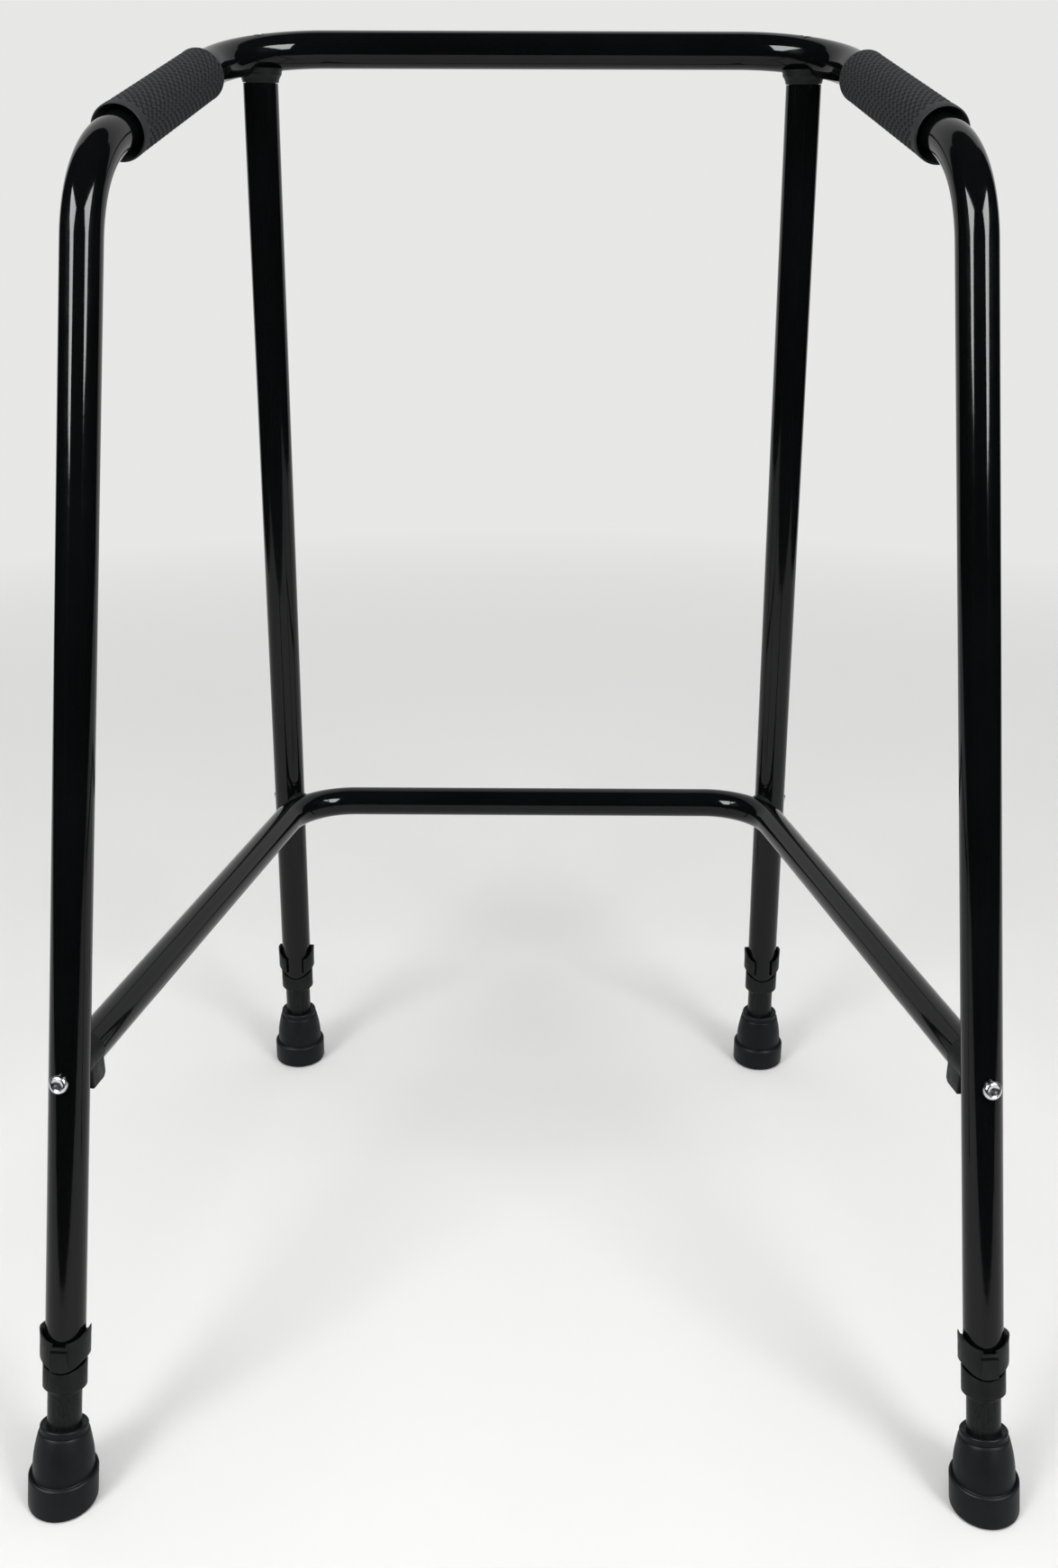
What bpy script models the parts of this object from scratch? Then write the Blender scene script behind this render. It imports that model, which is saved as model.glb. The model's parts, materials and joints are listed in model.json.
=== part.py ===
"""A standard walking frame, built as its separate pieces.

One bent tube makes both rear legs, both hand rails and the bar across the front. Two front legs
stand under its front corners, and a U-shaped brace ties all four legs together low down. Each leg
ends in a collar, a sliding extension with a row of holes, a clip whose pin locks it, and a rubber
ferrule. The frame stands on the floor at z = 0, its middle over the origin. The person using it
faces +Y, so +X is the right-hand side. Sizes are in metres.
"""

from math import asin, cos, pi, radians, sin, sqrt, tan

import bmesh
import bpy
from mathutils import Matrix, Vector

UP = Vector((0, 0, 1))
SIDES = {"left": -1, "right": 1}
ROWS = {"rear": -1, "front": 1}

# Clearances
SEAT_GAP = 0.0003
SCREW_GAP = 0.0003

# Tubes
TUBE_OD = 0.0254
TUBE_WALL = 0.0015
BRACE_OD = 0.0240
BRACE_WALL = 0.0015
SLIDE_GAP = 0.0003
EXTENSION_OD = TUBE_OD - 2 * TUBE_WALL - 2 * SLIDE_GAP
EXTENSION_WALL = 0.0015
TUBE_SIDES = 20
BEND_STEPS = 5

# Where the feet stand
REAR_FOOT_SPACING = 0.598
FRONT_FOOT_SPACING = 0.434
FOOTPRINT_DEPTH = 0.525

# Rear legs, hand rails and front bar
REAR_LEAN = radians(16.3)
REAR_SPLAY = radians(3.01)
HANDLE_REAR_HEIGHT = 0.7966
BAR_HEIGHT = 0.8604
BAR_HALF_LENGTH = 0.2161
BAR_AHEAD_OF_FEET = 0.0051
FRAME_BEND_RADIUS = 0.075

# Front legs meet the front corners this far round each bend, counted from the bar
FRONT_LEG_BEND_ANGLE = radians(38)

# Lower brace
BRACE_REAR_HEIGHT = 0.2763
BRACE_FRONT_HEIGHT = 0.2670
BRACE_BEND_RADIUS = 0.056
BRACE_SADDLE_WALL = 0.0025
BRACE_CONTACT_ANGLE = radians(45)
BRACE_END_OFFSET = 0.0245

# Hand grips
GRIP_WALL = 0.0048
GRIP_OD = TUBE_OD + 2 * GRIP_WALL
GRIP_START = 0.058
GRIP_LENGTH = 0.166
GRIP_NEAR_ROUNDING = 0.0015
GRIP_FAR_ROUNDING = 0.0040

# Leg ends, as distances up the leg's own axis from the floor
FERRULE_TOP = 0.052
COLLAR_BOTTOM = 0.0755
COLLAR_HEIGHT = 0.0185
COLLAR_WALL = 0.0013
COLLAR_OD = TUBE_OD + 2 * COLLAR_WALL
COLLAR_LIP = 0.0018
COLLAR_CHAMFER = 0.0026
EXTENSION_ENGAGEMENT = 0.026

# Height adjustment
HOLE_PITCH = 0.025
HOLE_COUNT = 5
PIN_OD = 0.0064
PIN_HOLE_OD = 0.0072
CLIP_HEIGHT = 0.0268
CLIP_WALL = 0.0029
CLIP_MOUTH = 0.0156
CLIP_LIP_HEIGHT = 0.0220
CLIP_HORN_SPAN = 0.0266
CLIP_SHOULDER_SPAN = 0.0220
CLIP_SHOULDER_HEIGHT = 0.0200
CLIP_RIM_HEIGHT = 0.0060
CLIP_RIM_STANDOFF = 0.0012
CLIP_PAD_HEIGHT = 0.0164
CLIP_PAD_WIDTH = 0.0108
CLIP_PAD_DEPTH = 0.0018
CLIP_SLOT_DROP = 0.0022
CLIP_SLOT_HEIGHT = 0.0014
CLIP_SLOT_DEPTH = 0.0012

# Ferrules
FERRULE_TOP_WALL = 0.0034
FERRULE_TOP_OD = EXTENSION_OD + 2 * FERRULE_TOP_WALL
FERRULE_RIM_ROUNDING = 0.0016
FERRULE_NECK_OD = 0.0384
FERRULE_BASE_OD = 0.0446
FERRULE_BAND = 0.0210
FERRULE_SOLE = 0.0100
FERRULE_TREAD_DEPTH = 0.0016
FERRULE_TREAD_WIDTH = 0.0030
WASHER_THICKNESS = 0.0020

# Plugs, saddles and screws
PLUG_DEPTH = 0.0260
PLUG_CLEARANCE = 0.0003
LEG_SADDLE_DROP = 0.0060
LEG_SADDLE_REACH = 0.0088
LEG_SADDLE_BASE_STANDOFF = 0.0004
LEG_SADDLE_TOP_STANDOFF = 0.0043
LEG_SADDLE_BASE_OD = TUBE_OD + 2 * LEG_SADDLE_BASE_STANDOFF
LEG_SADDLE_TOP_OD = TUBE_OD + 2 * LEG_SADDLE_TOP_STANDOFF
SUNK_HEAD_OD = 0.0100
SUNK_HEAD_DOME = 0.0012
BRACE_HEAD_BACK = 0.0065
BRACE_HEAD_INSET = 0.0004
BRACE_HEAD_DROP = 0.0185
BRACE_HEAD_CHAMFER = 0.0030
BRACE_HEAD_ROUNDING = 0.0012
BRACE_SADDLE_OD = 0.0200
SCREW_OD = 0.0058
SCREW_HEAD_OD = 0.0120
SCREW_HEAD_HEIGHT = 0.0036
REAR_SCREW_DROP = 0.0065
REAR_SCREW_BITE = 0.0065
TOP_SCREW_BITE = 0.0140
FRONT_SCREW_BITE = 0.0060

TURNED_SEGMENTS = 20
SCREW_SEGMENTS = 12
MERGE = 0.00001
CUT_PAST = 0.004


def clear_scene():
    for item in list(bpy.data.objects):
        bpy.data.objects.remove(item, do_unlink=True)


def new_collection(name):
    group = bpy.data.collections.new(name)
    bpy.context.scene.collection.children.link(group)
    return group


def new_material(name, colour, roughness, metallic=0.0):
    finish = bpy.data.materials.new(name)
    finish.use_nodes = True
    shader = finish.node_tree.nodes["Principled BSDF"]
    shader.inputs["Base Color"].default_value = (*colour, 1.0)
    shader.inputs["Roughness"].default_value = roughness
    shader.inputs["Metallic"].default_value = metallic
    return finish


def smooth(mesh):
    mesh.shade_smooth()
    mesh.set_sharp_from_angle(angle=radians(35))


def add_part(name, mesh, finish, matrix=None):
    """Puts a finished mesh into the walker's collection under its node name."""
    smooth(mesh)
    mesh.materials.clear()
    mesh.materials.append(finish)
    part = bpy.data.objects.new(name, mesh)
    PARTS.objects.link(part)
    if matrix is not None:
        part.matrix_world = matrix
    return part


def add_cutter(name, mesh, matrix=None):
    """A cutter or a joined lump: in its own collection, and never part of the model by itself."""
    tool = bpy.data.objects.new(name, mesh)
    CUTTERS.objects.link(tool)
    tool.hide_render = True
    tool.display_type = "WIRE"
    if matrix is not None:
        tool.matrix_world = matrix
    return tool


def boolean(part, tool, operation):
    step = part.modifiers.new(f"{operation.lower()}_{tool.name}", "BOOLEAN")
    step.operation = operation
    step.solver = "EXACT"
    step.object = tool
    return step


def cut(part, tool):
    return boolean(part, tool, "DIFFERENCE")


def join(part, tool):
    return boolean(part, tool, "UNION")


def evaluated_mesh(item):
    graph = bpy.context.evaluated_depsgraph_get()
    return bpy.data.meshes.new_from_object(item.evaluated_get(graph))


def axis_matrix(origin, along, across=None):
    """A frame at origin whose z runs along one direction and whose y leans towards another."""
    z = along.normalized()
    if across is None:
        across = UP if abs(z.dot(UP)) < 0.9 else Vector((0, 1, 0))
    y = (across - across.dot(z) * z).normalized()
    x = y.cross(z)
    matrix = Matrix((x, y, z)).transposed().to_4x4()
    matrix.translation = origin
    return matrix


def bend(before, corner, after, radius):
    """Centre, first radius vector, axis and angle of the arc that rounds a corner."""
    back = (before - corner).normalized()
    ahead = (after - corner).normalized()
    turn = pi - back.angle(ahead)
    setback = radius * tan(turn / 2)
    axis = ahead.cross(back).normalized()
    start = corner + back * setback
    inward = axis.cross(-back)
    if inward.dot(ahead) < 0:
        axis.negate()
        inward.negate()
    centre = start + inward * radius
    return centre, start - centre, axis, turn


def bend_point(arc, angle):
    centre, spoke, axis, _ = arc
    return centre + Matrix.Rotation(angle, 3, axis) @ spoke


def rounded_path(corners, radius):
    """The corner points of a tube's centre line, with each inner corner rounded."""
    points = [corners[0]]
    for before, corner, after in zip(corners, corners[1:], corners[2:]):
        arc = bend(before, corner, after, radius)
        turn = arc[3]
        points += [bend_point(arc, turn * step / BEND_STEPS) for step in range(BEND_STEPS + 1)]
    points.append(corners[-1])
    return points


def swept_mesh(name, points, radius, capped):
    """A round section swept along points, as a mesh."""
    curve = bpy.data.curves.new(name, "CURVE")
    curve.dimensions = "3D"
    curve.bevel_depth = radius
    curve.bevel_resolution = (TUBE_SIDES - 4) // 2
    curve.use_fill_caps = capped
    spline = curve.splines.new("POLY")
    spline.points.add(len(points) - 1)
    for target, point in zip(spline.points, points):
        target.co = (*point, 1.0)
    guide = bpy.data.objects.new(name, curve)
    bpy.context.scene.collection.objects.link(guide)
    mesh = evaluated_mesh(guide)
    shape = bmesh.new()
    shape.from_mesh(mesh)
    bmesh.ops.remove_doubles(shape, verts=shape.verts, dist=MERGE)
    shape.to_mesh(mesh)
    shape.free()
    bpy.data.objects.remove(guide)
    return mesh


def add_tube(name, points, outer_diameter, wall, finish):
    """A bent tube with open ends."""
    part = add_part(name, swept_mesh(name, points, outer_diameter / 2, False), finish)
    shell = part.modifiers.new("wall", "SOLIDIFY")
    shell.thickness = wall
    shell.offset = -1
    shell.use_even_offset = True
    return part


def turned_mesh(name, profile, closed, segments=TURNED_SEGMENTS):
    """Turns (radius, height) points about the local z axis, from the top down the outside."""
    mesh = bpy.data.meshes.new(name)
    count = len(profile)
    edges = [(i, i + 1) for i in range(count - 1)]
    if closed:
        edges.append((count - 1, 0))
    mesh.from_pydata([(radius, 0, height) for radius, height in profile], edges, [])
    blank = bpy.data.objects.new(name, mesh)
    bpy.context.scene.collection.objects.link(blank)
    lathe = blank.modifiers.new("lathe", "SCREW")
    lathe.axis = "Z"
    lathe.angle = 2 * pi
    lathe.steps = segments
    lathe.render_steps = segments
    lathe.use_merge_vertices = True
    lathe.merge_threshold = MERGE
    turned = evaluated_mesh(blank)
    bpy.data.objects.remove(blank)
    return turned


def cylinder_mesh(name, radius, low, high, segments=TURNED_SEGMENTS):
    return turned_mesh(name, [(0, high), (radius, high), (radius, low), (0, low)], False, segments)


def box_mesh(name, low, high):
    mesh = bpy.data.meshes.new(name)
    shape = bmesh.new()
    bmesh.ops.create_cube(shape, size=1.0)
    size = [b - a for a, b in zip(low, high)]
    middle = [(a + b) / 2 for a, b in zip(low, high)]
    bmesh.ops.scale(shape, verts=shape.verts, vec=size)
    bmesh.ops.translate(shape, verts=shape.verts, vec=middle)
    shape.to_mesh(mesh)
    shape.free()
    return mesh


def prism_mesh(name, outline, low, high):
    """A flat outline in local y and z, drawn out along local x."""
    mesh = bpy.data.meshes.new(name)
    shape = bmesh.new()
    face = shape.faces.new([shape.verts.new((low, y, z)) for y, z in outline])
    side = bmesh.ops.extrude_face_region(shape, geom=[face])
    moved = [item for item in side["geom"] if isinstance(item, bmesh.types.BMVert)]
    bmesh.ops.translate(shape, verts=moved, vec=(high - low, 0, 0))
    bmesh.ops.recalc_face_normals(shape, faces=shape.faces)
    shape.to_mesh(mesh)
    shape.free()
    return mesh


def arc_points(centre, radius, start, end, steps):
    """Points of a (radius, height) quarter-round, with angles in degrees."""
    return [
        (centre[0] + radius * cos(radians(start + (end - start) * i / steps)),
         centre[1] + radius * sin(radians(start + (end - start) * i / steps)))
        for i in range(steps + 1)
    ]


class Leg:
    """One leg's line, its foot on the floor and the frame that its pieces are set in."""

    def __init__(self, row, side, top):
        self.row = row
        self.side = side
        self.name = f"{row}_{side}"
        spacing = REAR_FOOT_SPACING if row == "rear" else FRONT_FOOT_SPACING
        self.foot = Vector((SIDES[side] * spacing / 2, ROWS[row] * FOOTPRINT_DEPTH / 2, 0))
        self.direction = (top - self.foot).normalized()
        self.top = top
        self.outward = Vector((0, ROWS[row], 0))
        self.frame = axis_matrix(self.foot, self.direction, self.outward)

    def at(self, distance):
        return self.foot + self.direction * distance

    def at_height(self, height):
        return self.at(height / self.direction.z)


def rear_handle_corner(side):
    """Where the line of a rear leg meets the line of its hand rail."""
    sign = SIDES[side]
    height = HANDLE_REAR_HEIGHT
    return Vector((
        sign * (REAR_FOOT_SPACING / 2 - height * tan(REAR_SPLAY)),
        -FOOTPRINT_DEPTH / 2 + height * tan(REAR_LEAN),
        height,
    ))


def bar_corner(side):
    return Vector((SIDES[side] * BAR_HALF_LENGTH, FOOTPRINT_DEPTH / 2 + BAR_AHEAD_OF_FEET, BAR_HEIGHT))


def front_bend(side):
    other = "left" if side == "right" else "right"
    return bend(bar_corner(other), bar_corner(side), rear_handle_corner(side), FRAME_BEND_RADIUS)


def front_leg_seat(side):
    """The point of the frame tube's centre line that a front leg stands under."""
    return bend_point(front_bend(side), FRONT_LEG_BEND_ANGLE)


CLIP_BOTTOM = COLLAR_BOTTOM + COLLAR_HEIGHT + SEAT_GAP
PIN_HEIGHT = CLIP_BOTTOM + CLIP_PAD_HEIGHT / 2
TUBE_END = COLLAR_BOTTOM + COLLAR_LIP + SEAT_GAP
BORE_RADIUS = TUBE_OD / 2 - TUBE_WALL


def make_frame_tube(legs):
    corners = [
        legs["rear_left"].at(TUBE_END),
        rear_handle_corner("left"),
        bar_corner("left"),
        bar_corner("right"),
        rear_handle_corner("right"),
        legs["rear_right"].at(TUBE_END),
    ]
    return add_tube("main_tube", rounded_path(corners, FRAME_BEND_RADIUS), TUBE_OD, TUBE_WALL, ENAMEL)


def front_leg_tube_top(leg):
    """How far up its axis a front leg's tube ends, under its saddle."""
    return (leg.top - leg.foot).length - TUBE_OD / 2 - LEG_SADDLE_DROP - SEAT_GAP


def make_front_leg(leg):
    ends = [leg.at(TUBE_END), leg.at(front_leg_tube_top(leg))]
    return add_tube(f"front_leg_{leg.side}", ends, TUBE_OD, TUBE_WALL, ENAMEL)


def brace_height(depth, rear_depth, bar_depth):
    share = (depth - rear_depth) / (bar_depth - rear_depth)
    return BRACE_REAR_HEIGHT + share * (BRACE_FRONT_HEIGHT - BRACE_REAR_HEIGHT)


def brace_layout(legs):
    """Each side's rail start and corner: the corner bend nests inside the front leg."""
    reach = BRACE_BEND_RADIUS + BRACE_OD / 2 + TUBE_OD / 2 + BRACE_SADDLE_WALL
    layout = {}
    for side, sign in SIDES.items():
        leg_point = legs[f"front_{side}"].at_height(BRACE_FRONT_HEIGHT)
        rear_point = legs[f"rear_{side}"].at_height(BRACE_REAR_HEIGHT)
        towards_leg = Vector((sign * sin(BRACE_CONTACT_ANGLE), cos(BRACE_CONTACT_ANGLE), 0))
        centre = leg_point - towards_leg * reach
        bar_depth = centre.y + BRACE_BEND_RADIUS
        run = Vector((centre.x - rear_point.x, centre.y - rear_point.y, 0))
        swing = asin(BRACE_BEND_RADIUS / run.length)
        heading = Matrix.Rotation(-sign * swing, 3, "Z") @ run.normalized()
        length = (bar_depth - rear_point.y) / heading.y
        corner = Vector((rear_point.x + heading.x * length, bar_depth, BRACE_FRONT_HEIGHT))
        along = (corner - rear_point).normalized()
        height = brace_height(leg_point.y, rear_point.y, bar_depth)
        layout[side] = {
            "leg_axis": rear_point,
            "along": along,
            "corner": corner,
            "saddle_axis": towards_leg,
            "saddle_centre": Vector((centre.x, centre.y, 0)) + towards_leg * BRACE_BEND_RADIUS
            + UP * brace_height((centre + towards_leg * BRACE_BEND_RADIUS).y, rear_point.y, bar_depth),
            "leg_centre": Vector((leg_point.x, leg_point.y, height)),
        }
    return layout


def make_brace(layout):
    left = layout["left"]
    right = layout["right"]
    corners = [
        left["leg_axis"] + left["along"] * BRACE_END_OFFSET,
        left["corner"],
        right["corner"],
        right["leg_axis"] + right["along"] * BRACE_END_OFFSET,
    ]
    path = rounded_path(corners, BRACE_BEND_RADIUS)
    return add_tube("lower_brace", path, BRACE_OD, BRACE_WALL, ENAMEL), path


def make_grip(side):
    start = rear_handle_corner(side)
    end = bar_corner(side)
    inner = TUBE_OD / 2 + SEAT_GAP
    outer = GRIP_OD / 2
    near = GRIP_START
    far = GRIP_START + GRIP_LENGTH
    profile = [(inner, far)]
    soft = GRIP_FAR_ROUNDING
    crisp = GRIP_NEAR_ROUNDING
    profile += arc_points((outer - soft, far - soft), soft, 90, 0, 3)
    profile += arc_points((outer - crisp, near + crisp), crisp, 0, -90, 2)
    profile.append((inner, near))
    mesh = turned_mesh(f"grip_{side}", profile, True)
    return add_part(f"grip_{side}", mesh, GRIP_RUBBER, axis_matrix(start, end - start))


def make_extension(leg):
    """The sliding inner tube, with its row of adjustment holes facing out."""
    low = FERRULE_SOLE + WASHER_THICKNESS + 2 * SEAT_GAP
    high = PIN_HEIGHT + HOLE_PITCH * (HOLE_COUNT - 1) + EXTENSION_ENGAGEMENT
    outer = EXTENSION_OD / 2
    inner = outer - EXTENSION_WALL
    name = f"leg_extension_{leg.name}"
    mesh = turned_mesh(name, [(inner, high), (outer, high), (outer, low), (inner, low)], True)
    part = add_part(name, mesh, EXTENSION_PAINT, leg.frame)
    for index in range(HOLE_COUNT):
        height = PIN_HEIGHT + HOLE_PITCH * index
        cut(part, outward_drill(f"{name}_hole_{index + 1}", leg, height, 0, outer + CUT_PAST))
    return part


def outward_drill(name, leg, height, start, end):
    """A hole cutter square to the leg, running out towards its clip."""
    place = axis_matrix(leg.at(height), leg.frame.col[1].to_3d(), leg.direction)
    return add_cutter(name, cylinder_mesh(name, PIN_HOLE_OD / 2, start, end, SCREW_SEGMENTS), place)


def drill_pin_hole(tube, leg):
    cut(tube, outward_drill(f"pin_hole_{leg.name}", leg, PIN_HEIGHT, 0, TUBE_OD / 2 + CUT_PAST))


def make_collar(leg):
    """The sleeve over the tube's end, whose lip guides the extension."""
    outer = COLLAR_OD / 2
    sleeve = TUBE_OD / 2 + SEAT_GAP
    lip = EXTENSION_OD / 2 + SEAT_GAP
    low = COLLAR_BOTTOM
    high = COLLAR_BOTTOM + COLLAR_HEIGHT
    chamfer = min(COLLAR_CHAMFER, outer - lip)
    profile = [
        (outer, high),
        (outer, low + chamfer),
        (outer - chamfer, low),
        (lip, low),
        (lip, low + COLLAR_LIP),
        (sleeve, low + COLLAR_LIP),
        (sleeve, high),
    ]
    name = f"leg_collar_{leg.name}"
    return add_part(name, turned_mesh(name, profile, True), PLASTIC, leg.frame)


def make_clip(leg):
    """The C-shaped clip: a sprung band, a slotted pad and the locking pin, moulded as one."""
    name = f"height_clip_{leg.name}"
    low = CLIP_BOTTOM
    high = low + CLIP_HEIGHT
    pad_top = low + CLIP_PAD_HEIGHT
    inner = TUBE_OD / 2 + SEAT_GAP
    outer = inner + CLIP_WALL
    rim = high - CLIP_RIM_HEIGHT
    profile = [
        (outer + CLIP_RIM_STANDOFF, high),
        (outer, rim),
        (outer, low),
        (inner, low),
        (inner, rim),
        (inner + CLIP_RIM_STANDOFF, high),
    ]
    part = add_part(name, turned_mesh(name, profile, True), PLASTIC, leg.frame)
    pad = box_mesh(
        f"{name}_pad",
        (-CLIP_PAD_WIDTH / 2, outer - CLIP_WALL / 2, low + SEAT_GAP),
        (CLIP_PAD_WIDTH / 2, outer + CLIP_PAD_DEPTH, high),
    )
    join(part, add_cutter(f"{name}_pad", pad, leg.frame))
    place = axis_matrix(leg.at(PIN_HEIGHT), leg.frame.col[1].to_3d(), leg.direction)
    tip = EXTENSION_OD / 2 - EXTENSION_WALL - CLIP_WALL
    pin = cylinder_mesh(f"{name}_pin", PIN_OD / 2, tip, outer - CLIP_WALL / 2, SCREW_SEGMENTS)
    join(part, add_cutter(f"{name}_pin", pin, place))
    facing = axis_matrix(leg.foot, leg.direction, leg.frame.col[0].to_3d())
    past = outer + CUT_PAST
    mouth = clip_outline(CLIP_MOUTH / 2, low - CUT_PAST, CLIP_MOUTH / 2, low + CLIP_LIP_HEIGHT, high)
    cut(part, add_cutter(f"{name}_mouth", prism_mesh(f"{name}_mouth", mouth, 0.0, past), facing))
    shoulder = low + CLIP_SHOULDER_HEIGHT
    scoop = clip_outline(CLIP_PAD_WIDTH / 2, pad_top, CLIP_SHOULDER_SPAN / 2, shoulder, high)
    cut(part, add_cutter(f"{name}_scoop", prism_mesh(f"{name}_scoop", scoop, -past, 0.0), facing))
    slot_top = pad_top - CLIP_SLOT_DROP
    slot = box_mesh(
        f"{name}_slot",
        (-CLIP_PAD_WIDTH, outer + CLIP_PAD_DEPTH - CLIP_SLOT_DEPTH, slot_top - CLIP_SLOT_HEIGHT),
        (CLIP_PAD_WIDTH, outer + CLIP_PAD_DEPTH + CUT_PAST, slot_top),
    )
    cut(part, add_cutter(f"{name}_slot", slot, leg.frame))
    return part


def clip_outline(half_floor, floor, half_shoulder, shoulder, high):
    """An opening, wider towards the top, that leaves a horn standing at each side of the clip."""
    half_top = CLIP_HORN_SPAN / 2
    right = [(half_floor, floor), (half_shoulder, shoulder), (half_top, high), (half_top, high + CUT_PAST)]
    return right + [(-across, height) for across, height in reversed(right)]


def ferrule_profile():
    """Down the outside of the rubber, then in across its ringed sole."""
    top = FERRULE_TOP_OD / 2
    neck = FERRULE_NECK_OD / 2
    base = FERRULE_BASE_OD / 2
    step = base - neck
    tread = FERRULE_TREAD_WIDTH
    rim = FERRULE_RIM_ROUNDING
    profile = [(0, FERRULE_TOP)]
    profile += arc_points((top - rim, FERRULE_TOP - rim), rim, 90, 0, 2)
    profile.append((neck, FERRULE_BAND + step / 2))
    profile += arc_points((neck, FERRULE_BAND - step / 2), step, 60, 0, 3)
    profile += arc_points((base - rim, rim), rim, 0, -90, 2)
    groove = base - 3 * tread
    profile += [
        (groove + tread / 2, 0),
        (groove + tread / 4, FERRULE_TREAD_DEPTH),
        (groove - tread / 4, FERRULE_TREAD_DEPTH),
        (groove - tread / 2, 0),
        (0, 0),
    ]
    return profile


def lean_ferrule(mesh, leg):
    """Keeps the sole flat on the floor while the neck of the rubber follows the leaning leg.

    The mesh stays relative to the leg's foot.
    """
    start = FERRULE_BAND / 2
    end = FERRULE_TOP - FERRULE_BAND / 2
    tilt = UP.rotation_difference(leg.direction)
    upright = Matrix.Identity(3).to_quaternion()
    for vertex in mesh.vertices:
        height = vertex.co.z
        share = min(max((height - start) / (end - start), 0), 1)
        share = share * share * (3 - 2 * share)
        turn = upright.slerp(tilt, share)
        middle = leg.direction * (height / leg.direction.z * (1 - share) + height * share)
        vertex.co = middle + turn @ Vector((vertex.co.x, vertex.co.y, 0))


def make_ferrule(leg):
    name = f"ferrule_{leg.name}"
    mesh = turned_mesh(name, ferrule_profile(), False)
    lean_ferrule(mesh, leg)
    part = add_part(name, mesh, RUBBER, Matrix.Translation(leg.foot))
    bore = cylinder_mesh(f"{name}_bore", EXTENSION_OD / 2 + SEAT_GAP, FERRULE_SOLE, FERRULE_TOP + CUT_PAST)
    cut(part, add_cutter(f"{name}_bore", bore, leg.frame))
    return part


def make_washer(leg):
    """The steel disc that keeps the tube from cutting through the rubber."""
    name = f"ferrule_washer_{leg.name}"
    low = FERRULE_SOLE + SEAT_GAP
    mesh = cylinder_mesh(name, EXTENSION_OD / 2, low, low + WASHER_THICKNESS, SCREW_SEGMENTS)
    return add_part(name, mesh, ZINC, leg.frame)


def screw_mesh(name, length):
    """A pan-head screw: its head's underside at z = 0 and its shank running down."""
    head = SCREW_HEAD_OD / 2
    shank = SCREW_OD / 2
    rise = SCREW_HEAD_HEIGHT
    profile = [
        (0, rise),
        (head * 0.55, rise * 0.92),
        (head * 0.85, rise * 0.62),
        (head, rise * 0.2),
        (head, 0),
        (shank, 0),
        (shank, -length + shank),
        (shank * 0.3, -length),
        (0, -length),
    ]
    return turned_mesh(name, profile, False, SCREW_SEGMENTS)


def add_screw(name, head_point, towards, length):
    """towards is the way the screw is driven; head_point is under its head."""
    return add_part(name, screw_mesh(name, length), ZINC, axis_matrix(head_point, -towards))


def screw_drill(name, start, towards, length):
    """A hole cutter from under a screw's head to just past its tip."""
    radius = SCREW_OD / 2 + SCREW_GAP
    mesh = cylinder_mesh(name, radius, -SCREW_HEAD_HEIGHT, length + SCREW_GAP, SCREW_SEGMENTS)
    return add_cutter(name, mesh, axis_matrix(start, towards))


def leg_cutter(name, leg):
    """The space that a leg's tube takes up, with its seat gap."""
    mesh = cylinder_mesh(name, TUBE_OD / 2 + SEAT_GAP, 0, (leg.top - leg.foot).length)
    return add_cutter(name, mesh, leg.frame)


def make_rear_brace_joint(leg, place, frame_tube):
    """The wedge-shaped plug between a brace end and its rear leg, and the screw through both."""
    along = place["along"]
    name = f"brace_end_plug_{leg.side}"
    frame = axis_matrix(place["leg_axis"], along, UP)
    half = BRACE_OD / 2 - BRACE_HEAD_INSET
    face = BRACE_END_OFFSET - SEAT_GAP
    outline = [
        (0.0, BRACE_HEAD_BACK),
        (0.0, face),
        (-BRACE_HEAD_DROP + BRACE_HEAD_CHAMFER, face),
        (-BRACE_HEAD_DROP, face - BRACE_HEAD_CHAMFER),
        (-BRACE_HEAD_DROP, BRACE_HEAD_BACK),
    ]
    part = add_part(name, prism_mesh(name, outline, -half, half), PLASTIC, frame)
    edges = part.modifiers.new("soft_edges", "BEVEL")
    edges.width = BRACE_HEAD_ROUNDING
    edges.segments = 2
    edges.limit_method = "ANGLE"
    sleeve = cylinder_mesh(f"{name}_sleeve", BRACE_OD / 2, 0, face + SEAT_GAP / 4)
    join(part, add_cutter(f"{name}_sleeve", sleeve, frame))
    spigot_radius = BRACE_OD / 2 - BRACE_WALL - PLUG_CLEARANCE
    spigot = cylinder_mesh(f"{name}_spigot", spigot_radius, face - CUT_PAST, face + PLUG_DEPTH)
    join(part, add_cutter(f"{name}_spigot", spigot, frame))
    cut(part, leg_cutter(f"{name}_leg", leg))
    square = (along - along.dot(leg.direction) * leg.direction).normalized()
    reach = TUBE_OD / 2 + SEAT_GAP
    start = place["leg_axis"] - leg.direction * REAR_SCREW_DROP - square * reach
    length = 2 * reach + REAR_SCREW_BITE
    drill = screw_drill(f"brace_rear_drill_{leg.side}", start, square, length)
    cut(part, drill)
    cut(frame_tube, drill)
    add_screw(f"brace_rear_screw_{leg.side}", start, square, length)


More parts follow.
